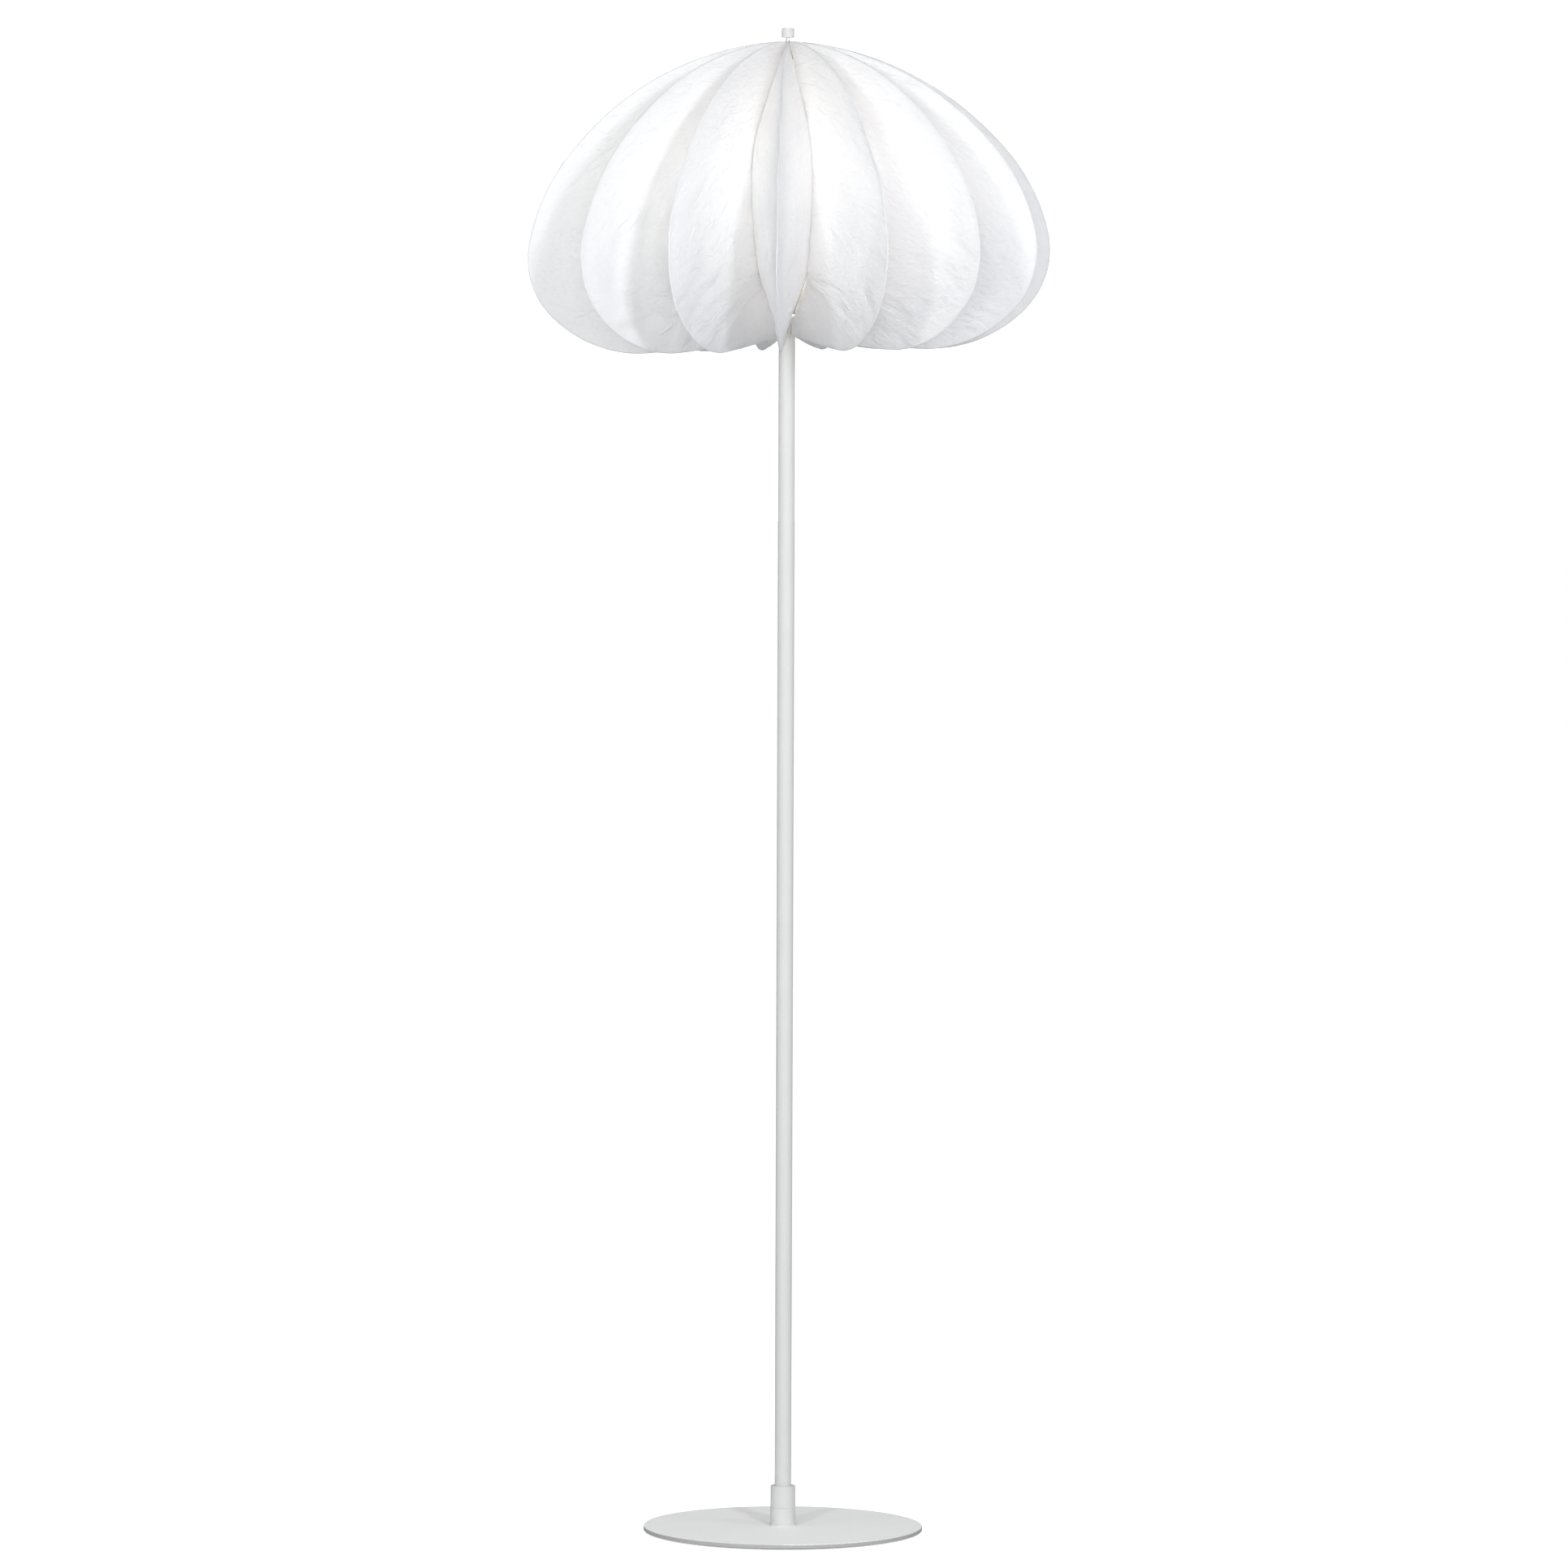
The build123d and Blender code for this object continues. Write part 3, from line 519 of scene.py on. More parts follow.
shade = {
    # mm and degrees, where nothing else is said. A share goes from 0 to 1
    "leaves": 15,
    "frontLeaf": 4,
    "frontTurn": -2.2,
    # degrees that a leaf's outer fold hangs off its even place. Its inner folds follow half way
    "swing": {1: -3.6, 15: -3.8},
    "top": (4.0, 1705.7),  # radius and height where the outer fold starts
    "scale": 0.994,
    "outerHeading": -3.1,
    "outerArcs": ((346, 49.5), (219, 25.8), (95, 55.5), (147.3, 51), (1600, 5.1)),  # radius and turn of each
    "innerStart": (5.17, 1705.32),
    "innerHeading": -35.8,
    "innerArcs": ((3600, 2.5), (91, 59), (196, 26.5), (51, 28.5), (1600, 3.5)),
    "rowsPerArc": (56, 22, 24, 30, 26),
    "panelColumns": 34,
    "seamColumns": 3,
    "seamWidth": 3.2,  # of the sewn edge that stands out of the outer fold
    "seamMost": 0.3,  # the widest it gets, as a share of the distance between the folds
    "plyGap": 0.7,
    "plyMost": 0.1,  # as a share of the radius
    "hem": 4.0,
    "hemLeast": 0.5,
    "hemMost": 0.25,  # as a share of the distance between the folds, on top of the least
    "trimmedHem": 0.7,  # at the top and at the mouth, where it has to clear the harp's saddle as the shade turns
    "trimRadius": 44,  # how near the axis the inner fold is there
    "trimSlope": 0.4,  # how fast the hem widens outside that
    "clothThickness": 0.34,
    "clearance": 0.2,  # from a leaf's inner fold to the plane between it and its neighbour
    "clearanceMost": 0.05,  # as a share of the radius
    "closureParting": 1.9,
    # share of the way down the fold, and share of the parting there
    "partingCurve": (
        (0, 0), (0.02, 0.0), (0.055, 0.3), (0.11, 0.1), (0.2, 0.0), (0.74, 0.0), (0.8, 1.0), (0.9, 1.0), (1, 0.2),
    ),
    "seamWaver": 1.6,
    "waverSize": 55,  # along the seam
    "waverShares": (0.5, 2.2, 0.5),  # outwards, sideways and up
    "waverReach": 0.55,  # share of the panel that the seam's waver takes along
    "waverTop": (0.01, 0.12),  # shares of the way down where it starts and is full
    "pucker": 6.0,
    "puckerSize": (38, 13),  # across and down the cloth
    "puckerReach": 0.45,  # share of the panel
    "crumple": 12.0,
    "creaseSize": (46, 85),  # across and down the cloth
    "swirlSize": 80,
    "swirlReach": 0.09,  # metres
    "wave": 9.0,
    "waveSize": 95,
    "calmTop": 0.35,  # share of the wrinkles that is left in the upper part
    "calmTo": (0.3, 0.72),  # shares of the way down
    "belly": 1.5,
    "midFrom": (0.02, 0.3),  # shares of the panel where creases and waves start and are full
    "rootHold": 0.05,  # share of the panel where it leaves the seam's root
    "foldHold": (0.7, 0.97),  # shares of the panel where it settles into the inner fold
    "narrowHold": (10, 80),  # width of the panel
    "lean": 0.02,  # how much lower, per metre to the left, the lower part hangs
    "leanFrom": (0.1, 0.55),  # shares of the way down
    "stitchRow": (0.667, 0.1),  # share of the sewn edge where the stitches run, and how closely it has to be met
    "bareRows": (3, 2),  # rows without stitches at the top and at the mouth
    "seedStep": 1.37,
}


def arcChain(start, heading, arcs):
    # radius, height and heading at each row of a chain of arcs that turns clockwise
    radius, height = start
    rows = []
    for (bend, turn), count in zip(arcs, shade["rowsPerArc"]):
        bend *= shade["scale"]
        for step in range(count):
            now = heading - turn * step / count
            a, b = math.radians(heading), math.radians(now)
            out, up = bend * (math.sin(a) - math.sin(b)), bend * (math.cos(b) - math.cos(a))
            rows.append((radius + out, height + up, now))
        a, b = math.radians(heading), math.radians(heading - turn)
        radius += bend * (math.sin(a) - math.sin(b))
        height += bend * (math.cos(b) - math.cos(a))
        heading -= turn
    rows.append((radius, height, heading))
    return rows


def inwards(row, amount):
    # the point that lies so far inside a fold
    radius, height, heading = row
    a = math.radians(heading)
    return radius + amount * math.sin(a), height - amount * math.cos(a)


outer = arcChain(shade["top"], shade["outerHeading"], shade["outerArcs"])
inner = arcChain(shade["innerStart"], shade["innerHeading"], shade["innerArcs"])
half = math.radians(180 / shade["leaves"])
edgeLine, rootLine, valleyLine, hemLine = [], [], [], []
for out, inn in zip(outer, inner):
    gap = math.hypot(out[0] - inn[0] * math.cos(half), out[1] - inn[1])
    root = inwards(out, min(shade["seamWidth"], shade["seamMost"] * gap))
    ply = min(shade["plyGap"], shade["plyMost"] * root[0])
    edgeLine.append((out[0] * mm, 0, out[1] * mm))
    rootLine.append((root[0] * mm, ply * mm, root[1] * mm))
    saddleRoom = shade["trimmedHem"] + shade["trimSlope"] * max(0, inn[0] - shade["trimRadius"])
    hem = min(shade["hem"], shade["hemMost"] * gap + shade["hemLeast"], saddleRoom)
    for line, (radius, height) in ((valleyLine, inn[:2]), (hemLine, inwards(inn, hem))):
        side = -min(shade["clearance"], shade["clearanceMost"] * radius)
        line.append((
            (radius * math.cos(half) - side * math.sin(half)) * mm,
            (radius * math.sin(half) + side * math.cos(half)) * mm,
            height * mm,
        ))
foldLines = polyLines("foldLines", [edgeLine, rootLine, valleyLine, hemLine])
rowCount = len(outer)
foldLength = sum((Vector(b) - Vector(a)).length for a, b in zip(edgeLine, edgeLine[1:]))
sideColumns = shade["seamColumns"] + shade["panelColumns"] + 1
print("outer fold", round(foldLength, 3), "m long,", rowCount, "rows")

leafTree, given, result = newTree("foldedLeaf", {
    "Fold Lines": "NodeSocketObject",
    "Rows": "NodeSocketInt",
    "Columns": "NodeSocketInt",
    "Seam Share": "NodeSocketFloat",
    "Hem Share": "NodeSocketFloat",
    "Fold Length": "NodeSocketFloat",
    "Turn": "NodeSocketFloat",
    "Left Widening": "NodeSocketFloat",
    "Right Widening": "NodeSocketFloat",
    "Left Parting": "NodeSocketFloat",
    "Right Parting": "NodeSocketFloat",
    "Seam Waver": "NodeSocketFloat",
    "Pucker": "NodeSocketFloat",
    "Crumple": "NodeSocketFloat",
    "Wave": "NodeSocketFloat",
    "Belly": "NodeSocketFloat",
    "Lean": "NodeSocketFloat",
    "Seed": "NodeSocketFloat",
    "Cloth": "NodeSocketMaterial",
})
gridSize = {"Size X": 1.0, "Size Y": 1.0, "Vertices X": given["Columns"], "Vertices Y": given["Rows"]}
grid = addNode(leafTree, "GeometryNodeMeshGrid", gridSize)
spot = addNode(leafTree, "ShaderNodeSeparateXYZ", {0: grid.outputs["UV Map"]})
down = spot.outputs["Y"]  # 0 at the top of the shade, 1 at its mouth
across = addNode(leafTree, "ShaderNodeMapRange", {"Value": spot.outputs["X"], "To Min": -1.0, "To Max": 1.0})
side = calc(leafTree, "SIGN", across)
away = calc(leafTree, "ABSOLUTE", across)  # 0 at the seam's edge, 1 at the inner hem
seamShare = addNode(leafTree, "ShaderNodeMapRange", {"Value": away, "From Max": given["Seam Share"]})
panelFrom = {"Value": away, "From Min": given["Seam Share"], "From Max": given["Hem Share"]}
panelShare = addNode(leafTree, "ShaderNodeMapRange", panelFrom)
hemShare = addNode(leafTree, "ShaderNodeMapRange", {"Value": away, "From Min": given["Hem Share"]})

lastRow = calc(leafTree, "SUBTRACT", given["Rows"], 1.0)
rowPlace = calc(leafTree, "MULTIPLY", down, lastRow)
row = addNode(leafTree, "FunctionNodeFloatToInt", {0: rowPlace}, rounding_mode="ROUND")
folds = addNode(leafTree, "GeometryNodeObjectInfo", {"Object": given["Fold Lines"]})
here = addNode(leafTree, "GeometryNodeInputPosition")
lines = []
index = row
for line in range(4):  # seam's edge, seam's root, inner fold, hem
    sample = {"Geometry": folds.outputs["Geometry"], "Value": here, "Index": index}
    lines.append(addNode(leafTree, "GeometryNodeSampleIndex", sample, data_type="FLOAT_VECTOR"))
    index = calc(leafTree, "ADD", index, given["Rows"])
isRight = calc(leafTree, "GREATER_THAN", side, 0.0)
widening = blend(leafTree, "FLOAT", isRight, given["Left Widening"], given["Right Widening"])
innerFold, hemEdge = [
    addNode(leafTree, "ShaderNodeVectorRotate", {"Vector": line, "Angle": widening}, rotation_type="Z_AXIS")
    for line in lines[2:]
]
seamFlat = blend(leafTree, "VECTOR", seamShare, lines[0], lines[1])
fromRoot = calc(leafTree, "SUBTRACT", 1.0, seamShare)
rootSquare = calc(leafTree, "MULTIPLY", fromRoot, fromRoot)
edgeSquare = calc(leafTree, "SUBTRACT", 1.0, rootSquare)
# the sewn edge is blunt, like half an ellipse
roundShare = calc(leafTree, "SQRT", edgeSquare)
seamRound = blend(leafTree, "VECTOR", roundShare, lines[0], lines[1])
flatParts = addNode(leafTree, "ShaderNodeSeparateXYZ", {0: seamFlat})
roundParts = addNode(leafTree, "ShaderNodeSeparateXYZ", {0: seamRound})
seamParts = {0: flatParts.outputs["X"], 1: roundParts.outputs["Y"], 2: flatParts.outputs["Z"]}
seam = addNode(leafTree, "ShaderNodeCombineXYZ", seamParts)
panel = blend(leafTree, "VECTOR", panelShare, seam, innerFold)
whole = blend(leafTree, "VECTOR", hemShare, panel, hemEdge)

# the closure: this side's inner fold stands a little away from its neighbour near the top and the bottom
parting = blend(leafTree, "FLOAT", isRight, given["Left Parting"], given["Right Parting"])
partHow = addNode(leafTree, "ShaderNodeFloatCurve", {"Value": down})
curve = partHow.mapping.curves[0]
for x, y in shade["partingCurve"][1:-1]:
    curve.points.new(x, y)
curve.points[0].location = shade["partingCurve"][0]
curve.points[-1].location = shade["partingCurve"][-1]
partHow.mapping.update()
partBy = calc(leafTree, "MULTIPLY", parting, partHow)
partHere = calc(leafTree, "MULTIPLY", partBy, panelShare)
apart = scaleVector(leafTree, (math.sin(half), -math.cos(half), 0.0), partHere)
parted = vectorCalc(leafTree, "ADD", whole, apart)
mirrorBy = addNode(leafTree, "ShaderNodeCombineXYZ", {0: 1.0, 1: side, 2: 1.0})
bothSides = vectorCalc(leafTree, "MULTIPLY", parted, mirrorBy)

# the seam wavers a little, as stiff cloth does between stitches
along = calc(leafTree, "MULTIPLY", down, given["Fold Length"])
waverPlace = addNode(leafTree, "ShaderNodeCombineXYZ", {0: along, 1: given["Seed"], 2: 0.0})
waverFrom = {"Vector": waverPlace, "Scale": 1 / (shade["waverSize"] * mm), "Detail": 2.0, "Roughness": 0.45}
waver = addNode(leafTree, "ShaderNodeTexNoise", waverFrom)
waverOut = vectorCalc(leafTree, "SUBTRACT", waver.outputs["Color"], (0.5, 0.5, 0.5))
waverAxes = vectorCalc(leafTree, "MULTIPLY", waverOut, shade["waverShares"])
seamHold = ease(leafTree, panelShare, 0.0, shade["waverReach"], 1.0, 0.0)
topHold = ease(leafTree, down, *shade["waverTop"])
waverBy = calc(leafTree, "MULTIPLY", seamHold, topHold)
waverSize = calc(leafTree, "MULTIPLY", waverBy, given["Seam Waver"])
waverMove = scaleVector(leafTree, waverAxes, waverSize)
settled = vectorCalc(leafTree, "ADD", bothSides, waverMove)
draped = addNode(leafTree, "GeometryNodeSetPosition", {"Geometry": grid.outputs["Mesh"], "Position": settled})

# wrinkles, along the cloth's own surface: width times share across it, and length down it, in metres
span = vectorCalc(leafTree, "DISTANCE", lines[1], lines[2])
acrossSide = calc(leafTree, "MULTIPLY", panelShare, side)
acrossLength = calc(leafTree, "MULTIPLY", acrossSide, span.outputs["Value"])
onCloth = addNode(leafTree, "ShaderNodeCombineXYZ", {0: acrossLength, 1: along, 2: given["Seed"]})
puckerWide, puckerTall = shade["puckerSize"]
puckerPlace = vectorCalc(leafTree, "MULTIPLY", onCloth, (1 / (puckerWide * mm), 1 / (puckerTall * mm), 3.0))
puckerFrom = {"Vector": puckerPlace, "Scale": 1.0, "Detail": 1.0, "Roughness": 0.5}
puckers = addNode(leafTree, "ShaderNodeTexNoise", puckerFrom)
puckerUp = calc(leafTree, "SUBTRACT", puckers.outputs["Fac"], 0.5)
puckerFade = ease(leafTree, panelShare, 0.0, shade["puckerReach"], 1.0, 0.0)
puckerSize = calc(leafTree, "MULTIPLY", puckerFade, given["Pucker"])
puckerHere = calc(leafTree, "MULTIPLY", puckerUp, puckerSize)
# creases run down towards the lower end of the leaf, so their noise is stretched that way
swirlFrom = {"Vector": onCloth, "Scale": 1 / (shade["swirlSize"] * mm), "Detail": 2.0}
swirl = addNode(leafTree, "ShaderNodeTexNoise", swirlFrom)
swirlReach = (shade["swirlReach"], shade["swirlReach"], 0.0)
swirlBy = vectorCalc(leafTree, "MULTIPLY", swirl.outputs["Color"], swirlReach)
creasePlace = vectorCalc(leafTree, "ADD", onCloth, swirlBy)
creaseWide, creaseTall = shade["creaseSize"]
creaseScale = vectorCalc(leafTree, "MULTIPLY", creasePlace, (1 / (creaseWide * mm), 1 / (creaseTall * mm), 1.0))
creaseFrom = {"Vector": creaseScale, "Scale": 1.0, "Detail": 2.0, "Roughness": 0.5}
creases = addNode(leafTree, "ShaderNodeTexNoise", creaseFrom)
creaseMiddle = calc(leafTree, "SUBTRACT", creases.outputs["Fac"], 0.5)
creaseUp = calc(leafTree, "ABSOLUTE", creaseMiddle)
creaseHere = calc(leafTree, "MULTIPLY", creaseUp, given["Crumple"])
wavePlace = vectorCalc(leafTree, "ADD", onCloth, (0.0, 0.0, 7.3))  # far from the creases' own noise
waveFrom = {"Vector": wavePlace, "Scale": 1 / (shade["waveSize"] * mm), "Detail": 1.0}
waves = addNode(leafTree, "ShaderNodeTexNoise", waveFrom)
waveUp = calc(leafTree, "SUBTRACT", waves.outputs["Fac"], 0.5)
waveHere = calc(leafTree, "MULTIPLY", waveUp, given["Wave"])
lower = ease(leafTree, down, *shade["calmTo"], shade["calmTop"], 1.0)
roughUp = calc(leafTree, "ADD", creaseHere, waveHere)
midHold = ease(leafTree, panelShare, *shade["midFrom"])
midUp = calc(leafTree, "MULTIPLY", roughUp, midHold)
bothUp = calc(leafTree, "ADD", puckerHere, midUp)
roughHere = calc(leafTree, "MULTIPLY", bothUp, lower)
bellyShare = calc(leafTree, "MULTIPLY", panelShare, math.pi)
bellyUp = calc(leafTree, "SINE", bellyShare)
bellyHere = calc(leafTree, "MULTIPLY", bellyUp, given["Belly"])
allUp = calc(leafTree, "ADD", roughHere, bellyHere)
foldHold = ease(leafTree, panelShare, *shade["foldHold"], 1.0, 0.0)
rootHold = ease(leafTree, panelShare, 0.0, shade["rootHold"])
wideHold = ease(leafTree, span.outputs["Value"], *[width * mm for width in shade["narrowHold"]])
holdA = calc(leafTree, "MULTIPLY", foldHold, rootHold)
holdB = calc(leafTree, "MULTIPLY", holdA, wideHold)
riseBy = calc(leafTree, "MULTIPLY", allUp, holdB)
outwards = addNode(leafTree, "GeometryNodeInputNormal")
rise = scaleVector(leafTree, outwards, riseBy)
wrinkled = addNode(leafTree, "GeometryNodeSetPosition", {"Geometry": draped, "Offset": rise})

uvShift = calc(leafTree, "ADD", acrossLength, given["Seed"])
uvPlace = addNode(leafTree, "ShaderNodeCombineXYZ", {0: uvShift, 1: along, 2: 0.0})
uvStore = {"Geometry": wrinkled, "Name": "UVMap", "Value": uvPlace}
mapped = addNode(leafTree, "GeometryNodeStoreNamedAttribute", uvStore, data_type="FLOAT2", domain="CORNER")
midSeam = calc(leafTree, "COMPARE", seamShare, *shade["stitchRow"])
rowNumber = calc(leafTree, "ADD", row, 1.0)
seamMark = calc(leafTree, "MULTIPLY", rowNumber, midSeam)
seamStore = {"Geometry": mapped, "Name": "seamRow", "Value": seamMark}
marked = addNode(leafTree, "GeometryNodeStoreNamedAttribute", seamStore, data_type="FLOAT", domain="POINT")
spin = addNode(leafTree, "ShaderNodeCombineXYZ", {2: given["Turn"]})
turned = addNode(leafTree, "GeometryNodeTransform", {"Geometry": marked, "Rotation": spin})
hangs = ease(leafTree, down, *shade["leanFrom"])
toRight = addNode(leafTree, "ShaderNodeSeparateXYZ", {0: here})
leanSize = calc(leafTree, "MULTIPLY", toRight.outputs["X"], given["Lean"])
leanHere = calc(leafTree, "MULTIPLY", leanSize, hangs)
leanUp = addNode(leafTree, "ShaderNodeCombineXYZ", {2: leanHere})
leaning = addNode(leafTree, "GeometryNodeSetPosition", {"Geometry": turned, "Offset": leanUp})
smooth = addNode(leafTree, "GeometryNodeSetShadeSmooth", {"Geometry": leaning})
real = addNode(leafTree, "GeometryNodeRealizeInstances", {"Geometry": smooth})
painted = addNode(leafTree, "GeometryNodeSetMaterial", {"Geometry": real, "Material": given["Cloth"]})
leafTree.links.new(painted.outputs[0], result[0])

leafCloths, seamLines = [], []
bareTop, bareMouth = shade["bareRows"]
swingOf = [shade["swing"].get(number, 0.0) for number in range(1, shade["leaves"] + 1)]
for number in range(1, shade["leaves"] + 1):
    name = f"shade_cloth_{number:02d}"
    before, swing, after = swingOf[number - 2], swingOf[number - 1], swingOf[number % shade["leaves"]]
    evenTurn = (number - shade["frontLeaf"]) * 360 / shade["leaves"]
    blank = bpy.data.objects.new(name + "_guide", bpy.data.meshes.new(name + "_guide"))
    scene.collection.objects.link(blank)
    runTree(blank, leafTree, {
        "Fold Lines": foldLines,
        "Rows": rowCount,
        "Columns": 2 * sideColumns + 1,
        "Seam Share": shade["seamColumns"] / sideColumns,
        "Hem Share": (sideColumns - 1) / sideColumns,
        "Fold Length": foldLength,
        "Turn": math.radians(evenTurn + shade["frontTurn"] - 90 + swing),
        "Left Widening": math.radians((swing - before) / 2),
        "Right Widening": math.radians((after - swing) / 2),
        "Left Parting": shade["closureParting"] * mm if number == shade["frontLeaf"] + 1 else 0.0,
        "Right Parting": shade["closureParting"] * mm if number == shade["frontLeaf"] else 0.0,
        "Seam Waver": shade["seamWaver"] * mm,
        "Pucker": shade["pucker"] * mm,
        "Crumple": shade["crumple"] * mm,
        "Wave": shade["wave"] * mm,
        "Belly": shade["belly"] * mm,
        "Lean": shade["lean"],
        "Seed": number * shade["seedStep"],
        "Cloth": spunCloth,
    })
    leaf = bakeShape(blank, name)
    marks = leaf.data.attributes["seamRow"].data
    rowsOfSeam = {}
    for vertex, mark in zip(leaf.data.vertices, marks):
        if mark.value > 0.5:
            rowsOfSeam.setdefault(round(mark.value), []).append(vertex.co.copy())
    seamPoints = [sum(rowsOfSeam[r], Vector()) / len(rowsOfSeam[r]) for r in sorted(rowsOfSeam)]
    seamLines.append(seamPoints[bareTop:-bareMouth])
    leaf.data.attributes.remove(leaf.data.attributes["seamRow"])
    thick = leaf.modifiers.new("clothThickness", "SOLIDIFY")
    thick.thickness = shade["clothThickness"] * mm
    thick.offset = 0.0
    leaf = bakeShape(leaf, name)
    work = bmesh.new()
    work.from_mesh(leaf.data)
    if work.calc_volume(signed=True) < 0:
        bmesh.ops.reverse_faces(work, faces=work.faces)
        work.to_mesh(leaf.data)
    work.free()
    leafCloths.append(leaf)
print("leaves made,", sum(len(o.data.polygons) for o in leafCloths), "faces")

# stitches

# mm. A stitch goes through both plies, so one shape shows on each side
stitch = {"pitch": 2.7, "length": 2.0, "width": 0.55, "depth": 2.2, "segments": 6, "rings": 4}

tree, given, result = newTree("seamStitches", {
    "Geometry": "NodeSocketGeometry",
    "Pitch": "NodeSocketFloat",
    "Length": "NodeSocketFloat",
    "Width": "NodeSocketFloat",
    "Depth": "NodeSocketFloat",
    "Thread": "NodeSocketMaterial",
})
spacing = {"Curve": given["Geometry"], "Length": given["Pitch"]}
spaced = addNode(tree, "GeometryNodeResampleCurve", spacing, mode="LENGTH")
place = addNode(tree, "GeometryNodeInputPosition")
tangent = addNode(tree, "GeometryNodeInputTangent")
sideways = vectorCalc(tree, "CROSS_PRODUCT", (0.0, 0.0, 1.0), place)
axes = {0: tangent, 1: sideways}
facing = addNode(tree, "FunctionNodeAxesToRotation", axes, primary_axis="X", secondary_axis="Y")
beadShape = {"Segments": stitch["segments"], "Rings": stitch["rings"], "Radius": 0.5}
bead = addNode(tree, "GeometryNodeMeshUVSphere", beadShape)
size = addNode(tree, "ShaderNodeCombineXYZ", {0: given["Length"], 1: given["Depth"], 2: given["Width"]})
beads = {"Points": spaced, "Instance": bead.outputs["Mesh"], "Rotation": facing, "Scale": size}
sewn = addNode(tree, "GeometryNodeInstanceOnPoints", beads)
real = addNode(tree, "GeometryNodeRealizeInstances", {"Geometry": sewn})
smooth = addNode(tree, "GeometryNodeSetShadeSmooth", {"Geometry": real})
painted = addNode(tree, "GeometryNodeSetMaterial", {"Geometry": smooth, "Material": given["Thread"]})
tree.links.new(painted.outputs[0], result[0])

threadLines = polyLines("threadLines", seamLines)
runTree(threadLines, tree, {
    "Pitch": stitch["pitch"] * mm,
    "Length": stitch["length"] * mm,
    "Width": stitch["width"] * mm,
    "Depth": stitch["depth"] * mm,
    "Thread": finishes["sewing_thread"],
})
stitches = bakeShape(threadLines, "seam_stitches")
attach(stitches, "shade")
print("stitches made,", len(stitches.data.polygons), "faces")

for number, leaf in enumerate(leafCloths, 1):
    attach(leaf, "shade")
    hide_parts(f"shade_leaf_{number:02d}")

# mouth cord

cord = {  # mm
    "radius": 15.0,
    "height": 1372.0,
    "strands": 3,
    "strandRadius": 0.42,
    "twistRadius": 0.42,
    "twists": 19,
    "ringPoints": 456,
    "strandSides": 8,
}

tree, given, result = newTree("twistedRing", {
    "Radius": "NodeSocketFloat",
    "Height": "NodeSocketFloat",
    "Strands": "NodeSocketInt",
    "Strand Radius": "NodeSocketFloat",
    "Twist Radius": "NodeSocketFloat",
    "Twists": "NodeSocketFloat",
    "Cord": "NodeSocketMaterial",
})
ringShape = {"Resolution": cord["ringPoints"], "Radius": given["Radius"]}
ring = addNode(tree, "GeometryNodeCurvePrimitiveCircle", ringShape)
copying = {"Geometry": ring.outputs[0], "Amount": given["Strands"]}
copies = addNode(tree, "GeometryNodeDuplicateElements", copying, domain="SPLINE")
share = addNode(tree, "GeometryNodeSplineParameter")
twist = calc(tree, "MULTIPLY", share.outputs["Factor"], given["Twists"])
phase = calc(tree, "DIVIDE", copies.outputs["Duplicate Index"], given["Strands"])
turns = calc(tree, "ADD", twist, phase)
angle = calc(tree, "MULTIPLY", turns, 2 * math.pi)
cosine = calc(tree, "COSINE", angle)
sine = calc(tree, "SINE", angle)
place = addNode(tree, "GeometryNodeInputPosition")
outDirection = vectorCalc(tree, "NORMALIZE", place)
outPart = scaleVector(tree, outDirection, cosine)
upPart = addNode(tree, "ShaderNodeCombineXYZ", {2: sine})
around = vectorCalc(tree, "ADD", outPart, upPart)
offset = scaleVector(tree, around, given["Twist Radius"])
wound = addNode(tree, "GeometryNodeSetPosition", {"Geometry": copies.outputs["Geometry"], "Offset": offset})
sectionShape = {"Resolution": cord["strandSides"], "Radius": given["Strand Radius"]}
section = addNode(tree, "GeometryNodeCurvePrimitiveCircle", sectionShape)
strands = addNode(tree, "GeometryNodeCurveToMesh", {"Curve": wound, "Profile Curve": section.outputs[0]})
lift = addNode(tree, "ShaderNodeCombineXYZ", {2: given["Height"]})
lifted = addNode(tree, "GeometryNodeTransform", {"Geometry": strands, "Translation": lift})
smooth = addNode(tree, "GeometryNodeSetShadeSmooth", {"Geometry": lifted})
real = addNode(tree, "GeometryNodeRealizeInstances", {"Geometry": smooth})
painted = addNode(tree, "GeometryNodeSetMaterial", {"Geometry": real, "Material": given["Cord"]})
tree.links.new(painted.outputs[0], result[0])

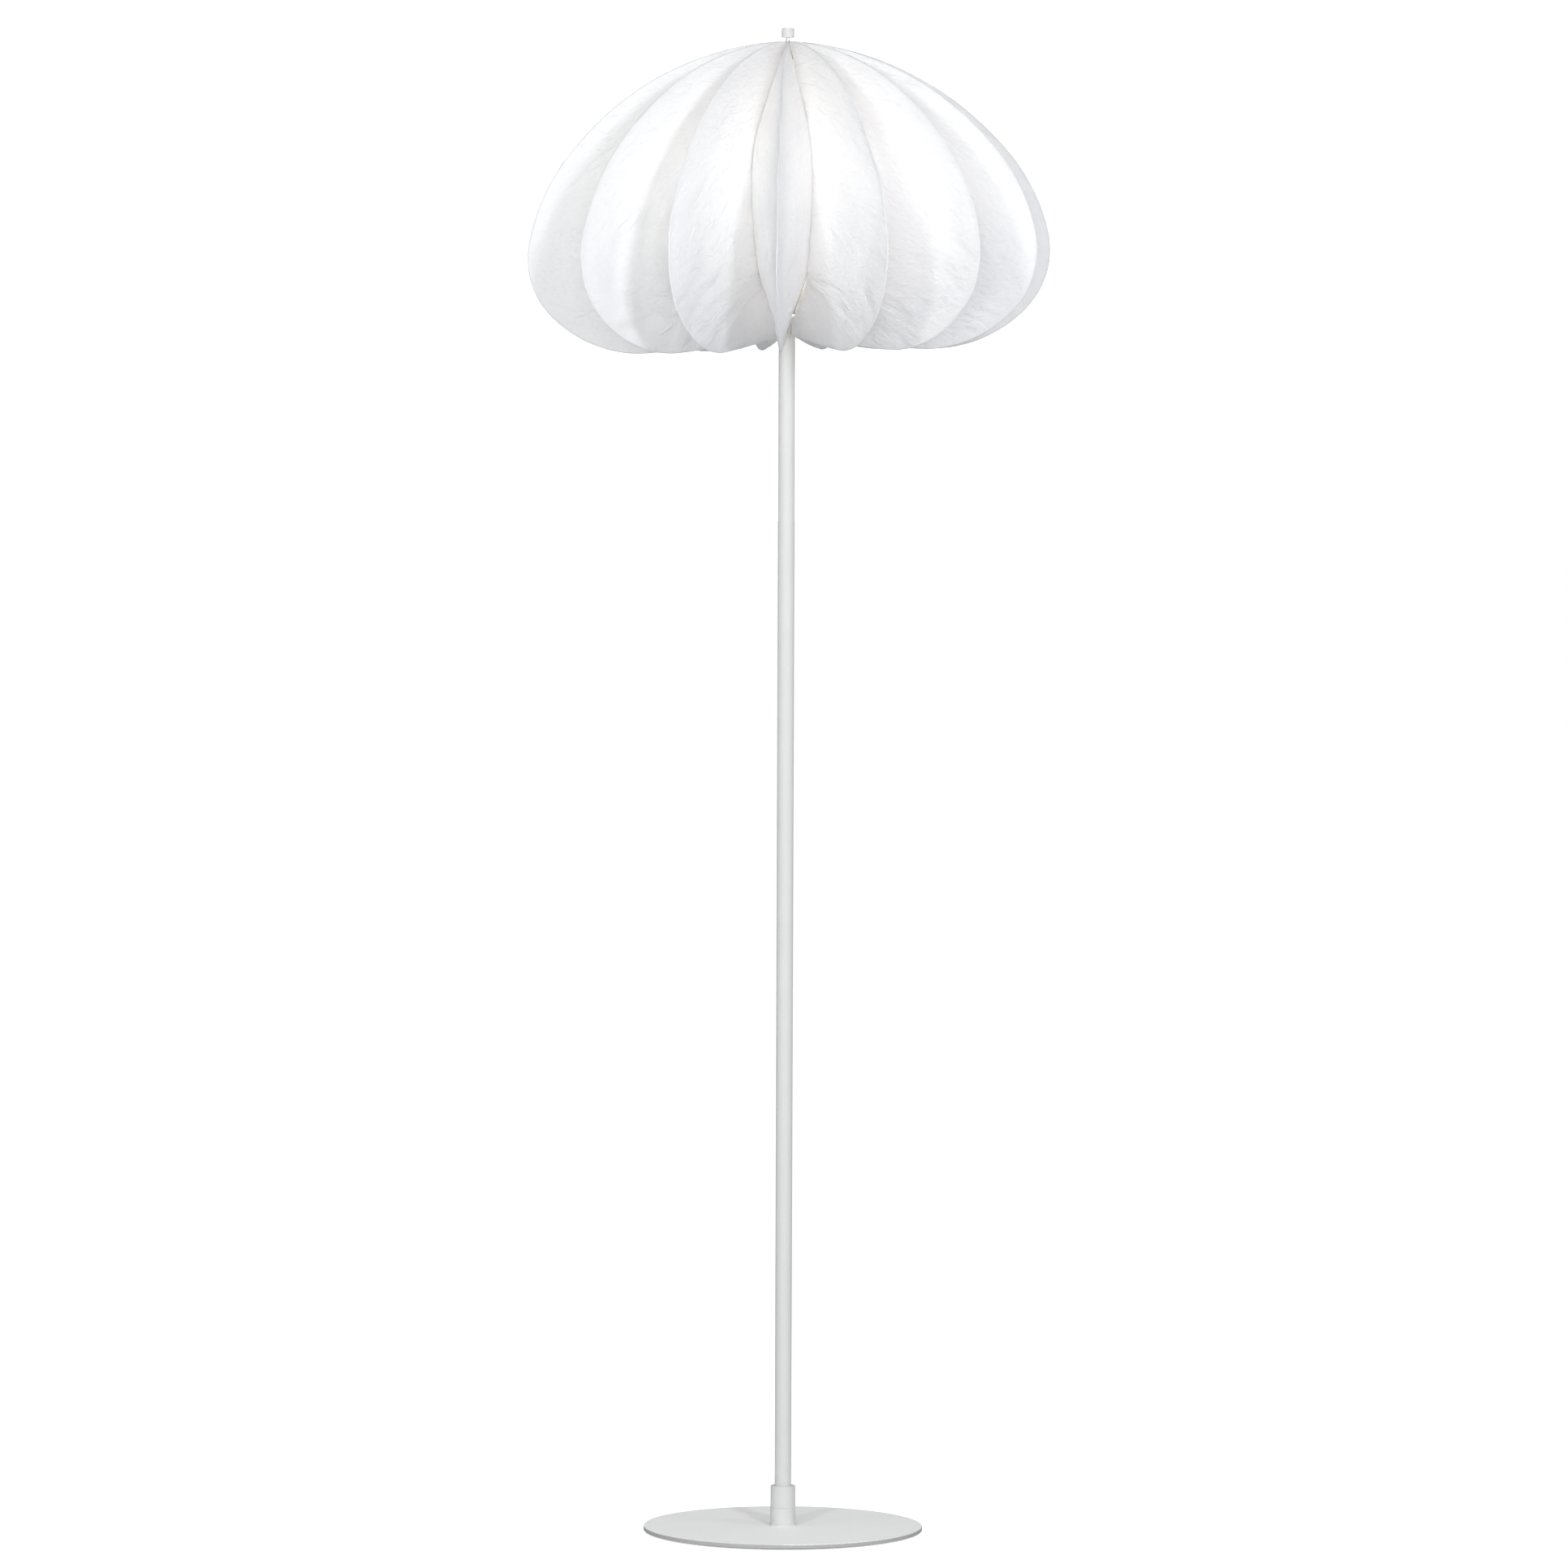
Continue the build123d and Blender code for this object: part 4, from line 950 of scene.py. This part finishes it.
blank = bpy.data.objects.new("cordGuide", bpy.data.meshes.new("cordGuide"))
scene.collection.objects.link(blank)
runTree(blank, tree, {
    "Radius": cord["radius"] * mm,
    "Height": cord["height"] * mm,
    "Strands": cord["strands"],
    "Strand Radius": cord["strandRadius"] * mm,
    "Twist Radius": cord["twistRadius"] * mm,
    "Twists": float(cord["twists"]),
    "Cord": finishes["shade_cord"],
})
mouthCord = bakeShape(blank, "twisted_mouth_cord")
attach(mouthCord, "shade")
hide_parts("mouth_cord")
print("mouth cord made")

# inner lead

# from the lampholder down the pole, round in the boss and into the grommet at the back, mm
lead = {"top": 1413.2, "outlet": 18.8, "bend": 5.6, "end": 12.25, "radius": 2.0, "bendSteps": 12, "sides": 20}

tree, given, result = newTree("sweptTube", {
    "Geometry": "NodeSocketGeometry",
    "Radius": "NodeSocketFloat",
    "Sheath": "NodeSocketMaterial",
})
sectionShape = {"Resolution": lead["sides"], "Radius": given["Radius"]}
section = addNode(tree, "GeometryNodeCurvePrimitiveCircle", sectionShape)
sweep = {"Curve": given["Geometry"], "Profile Curve": section.outputs[0], "Fill Caps": True}
tube = addNode(tree, "GeometryNodeCurveToMesh", sweep)
real = addNode(tree, "GeometryNodeRealizeInstances", {"Geometry": tube})
painted = addNode(tree, "GeometryNodeSetMaterial", {"Geometry": real, "Material": given["Sheath"]})
tree.links.new(painted.outputs[0], result[0])

bendTop = lead["outlet"] + lead["bend"]
bendTurns = [math.pi / 2 * step / lead["bendSteps"] for step in range(lead["bendSteps"] + 1)]
leadRoute = [(0, 0, lead["top"])]
leadRoute += [(0, lead["bend"] * (1 - math.cos(a)), bendTop - lead["bend"] * math.sin(a)) for a in bendTurns]
leadRoute.append((0, lead["end"], lead["outlet"]))
leadLine = polyLines("leadLine", [[(x * mm, y * mm, z * mm) for x, y, z in leadRoute]])
runTree(leadLine, tree, {"Radius": lead["radius"] * mm, "Sheath": finishes["lead_sheath"]})
innerLead = bakeShape(leadLine, "routed_inner_lead")
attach(innerLead, "stand")
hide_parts("inner_lead")
print("inner lead made,", len(innerLead.data.polygons), "faces")

bpy.data.objects.remove(foldLines)
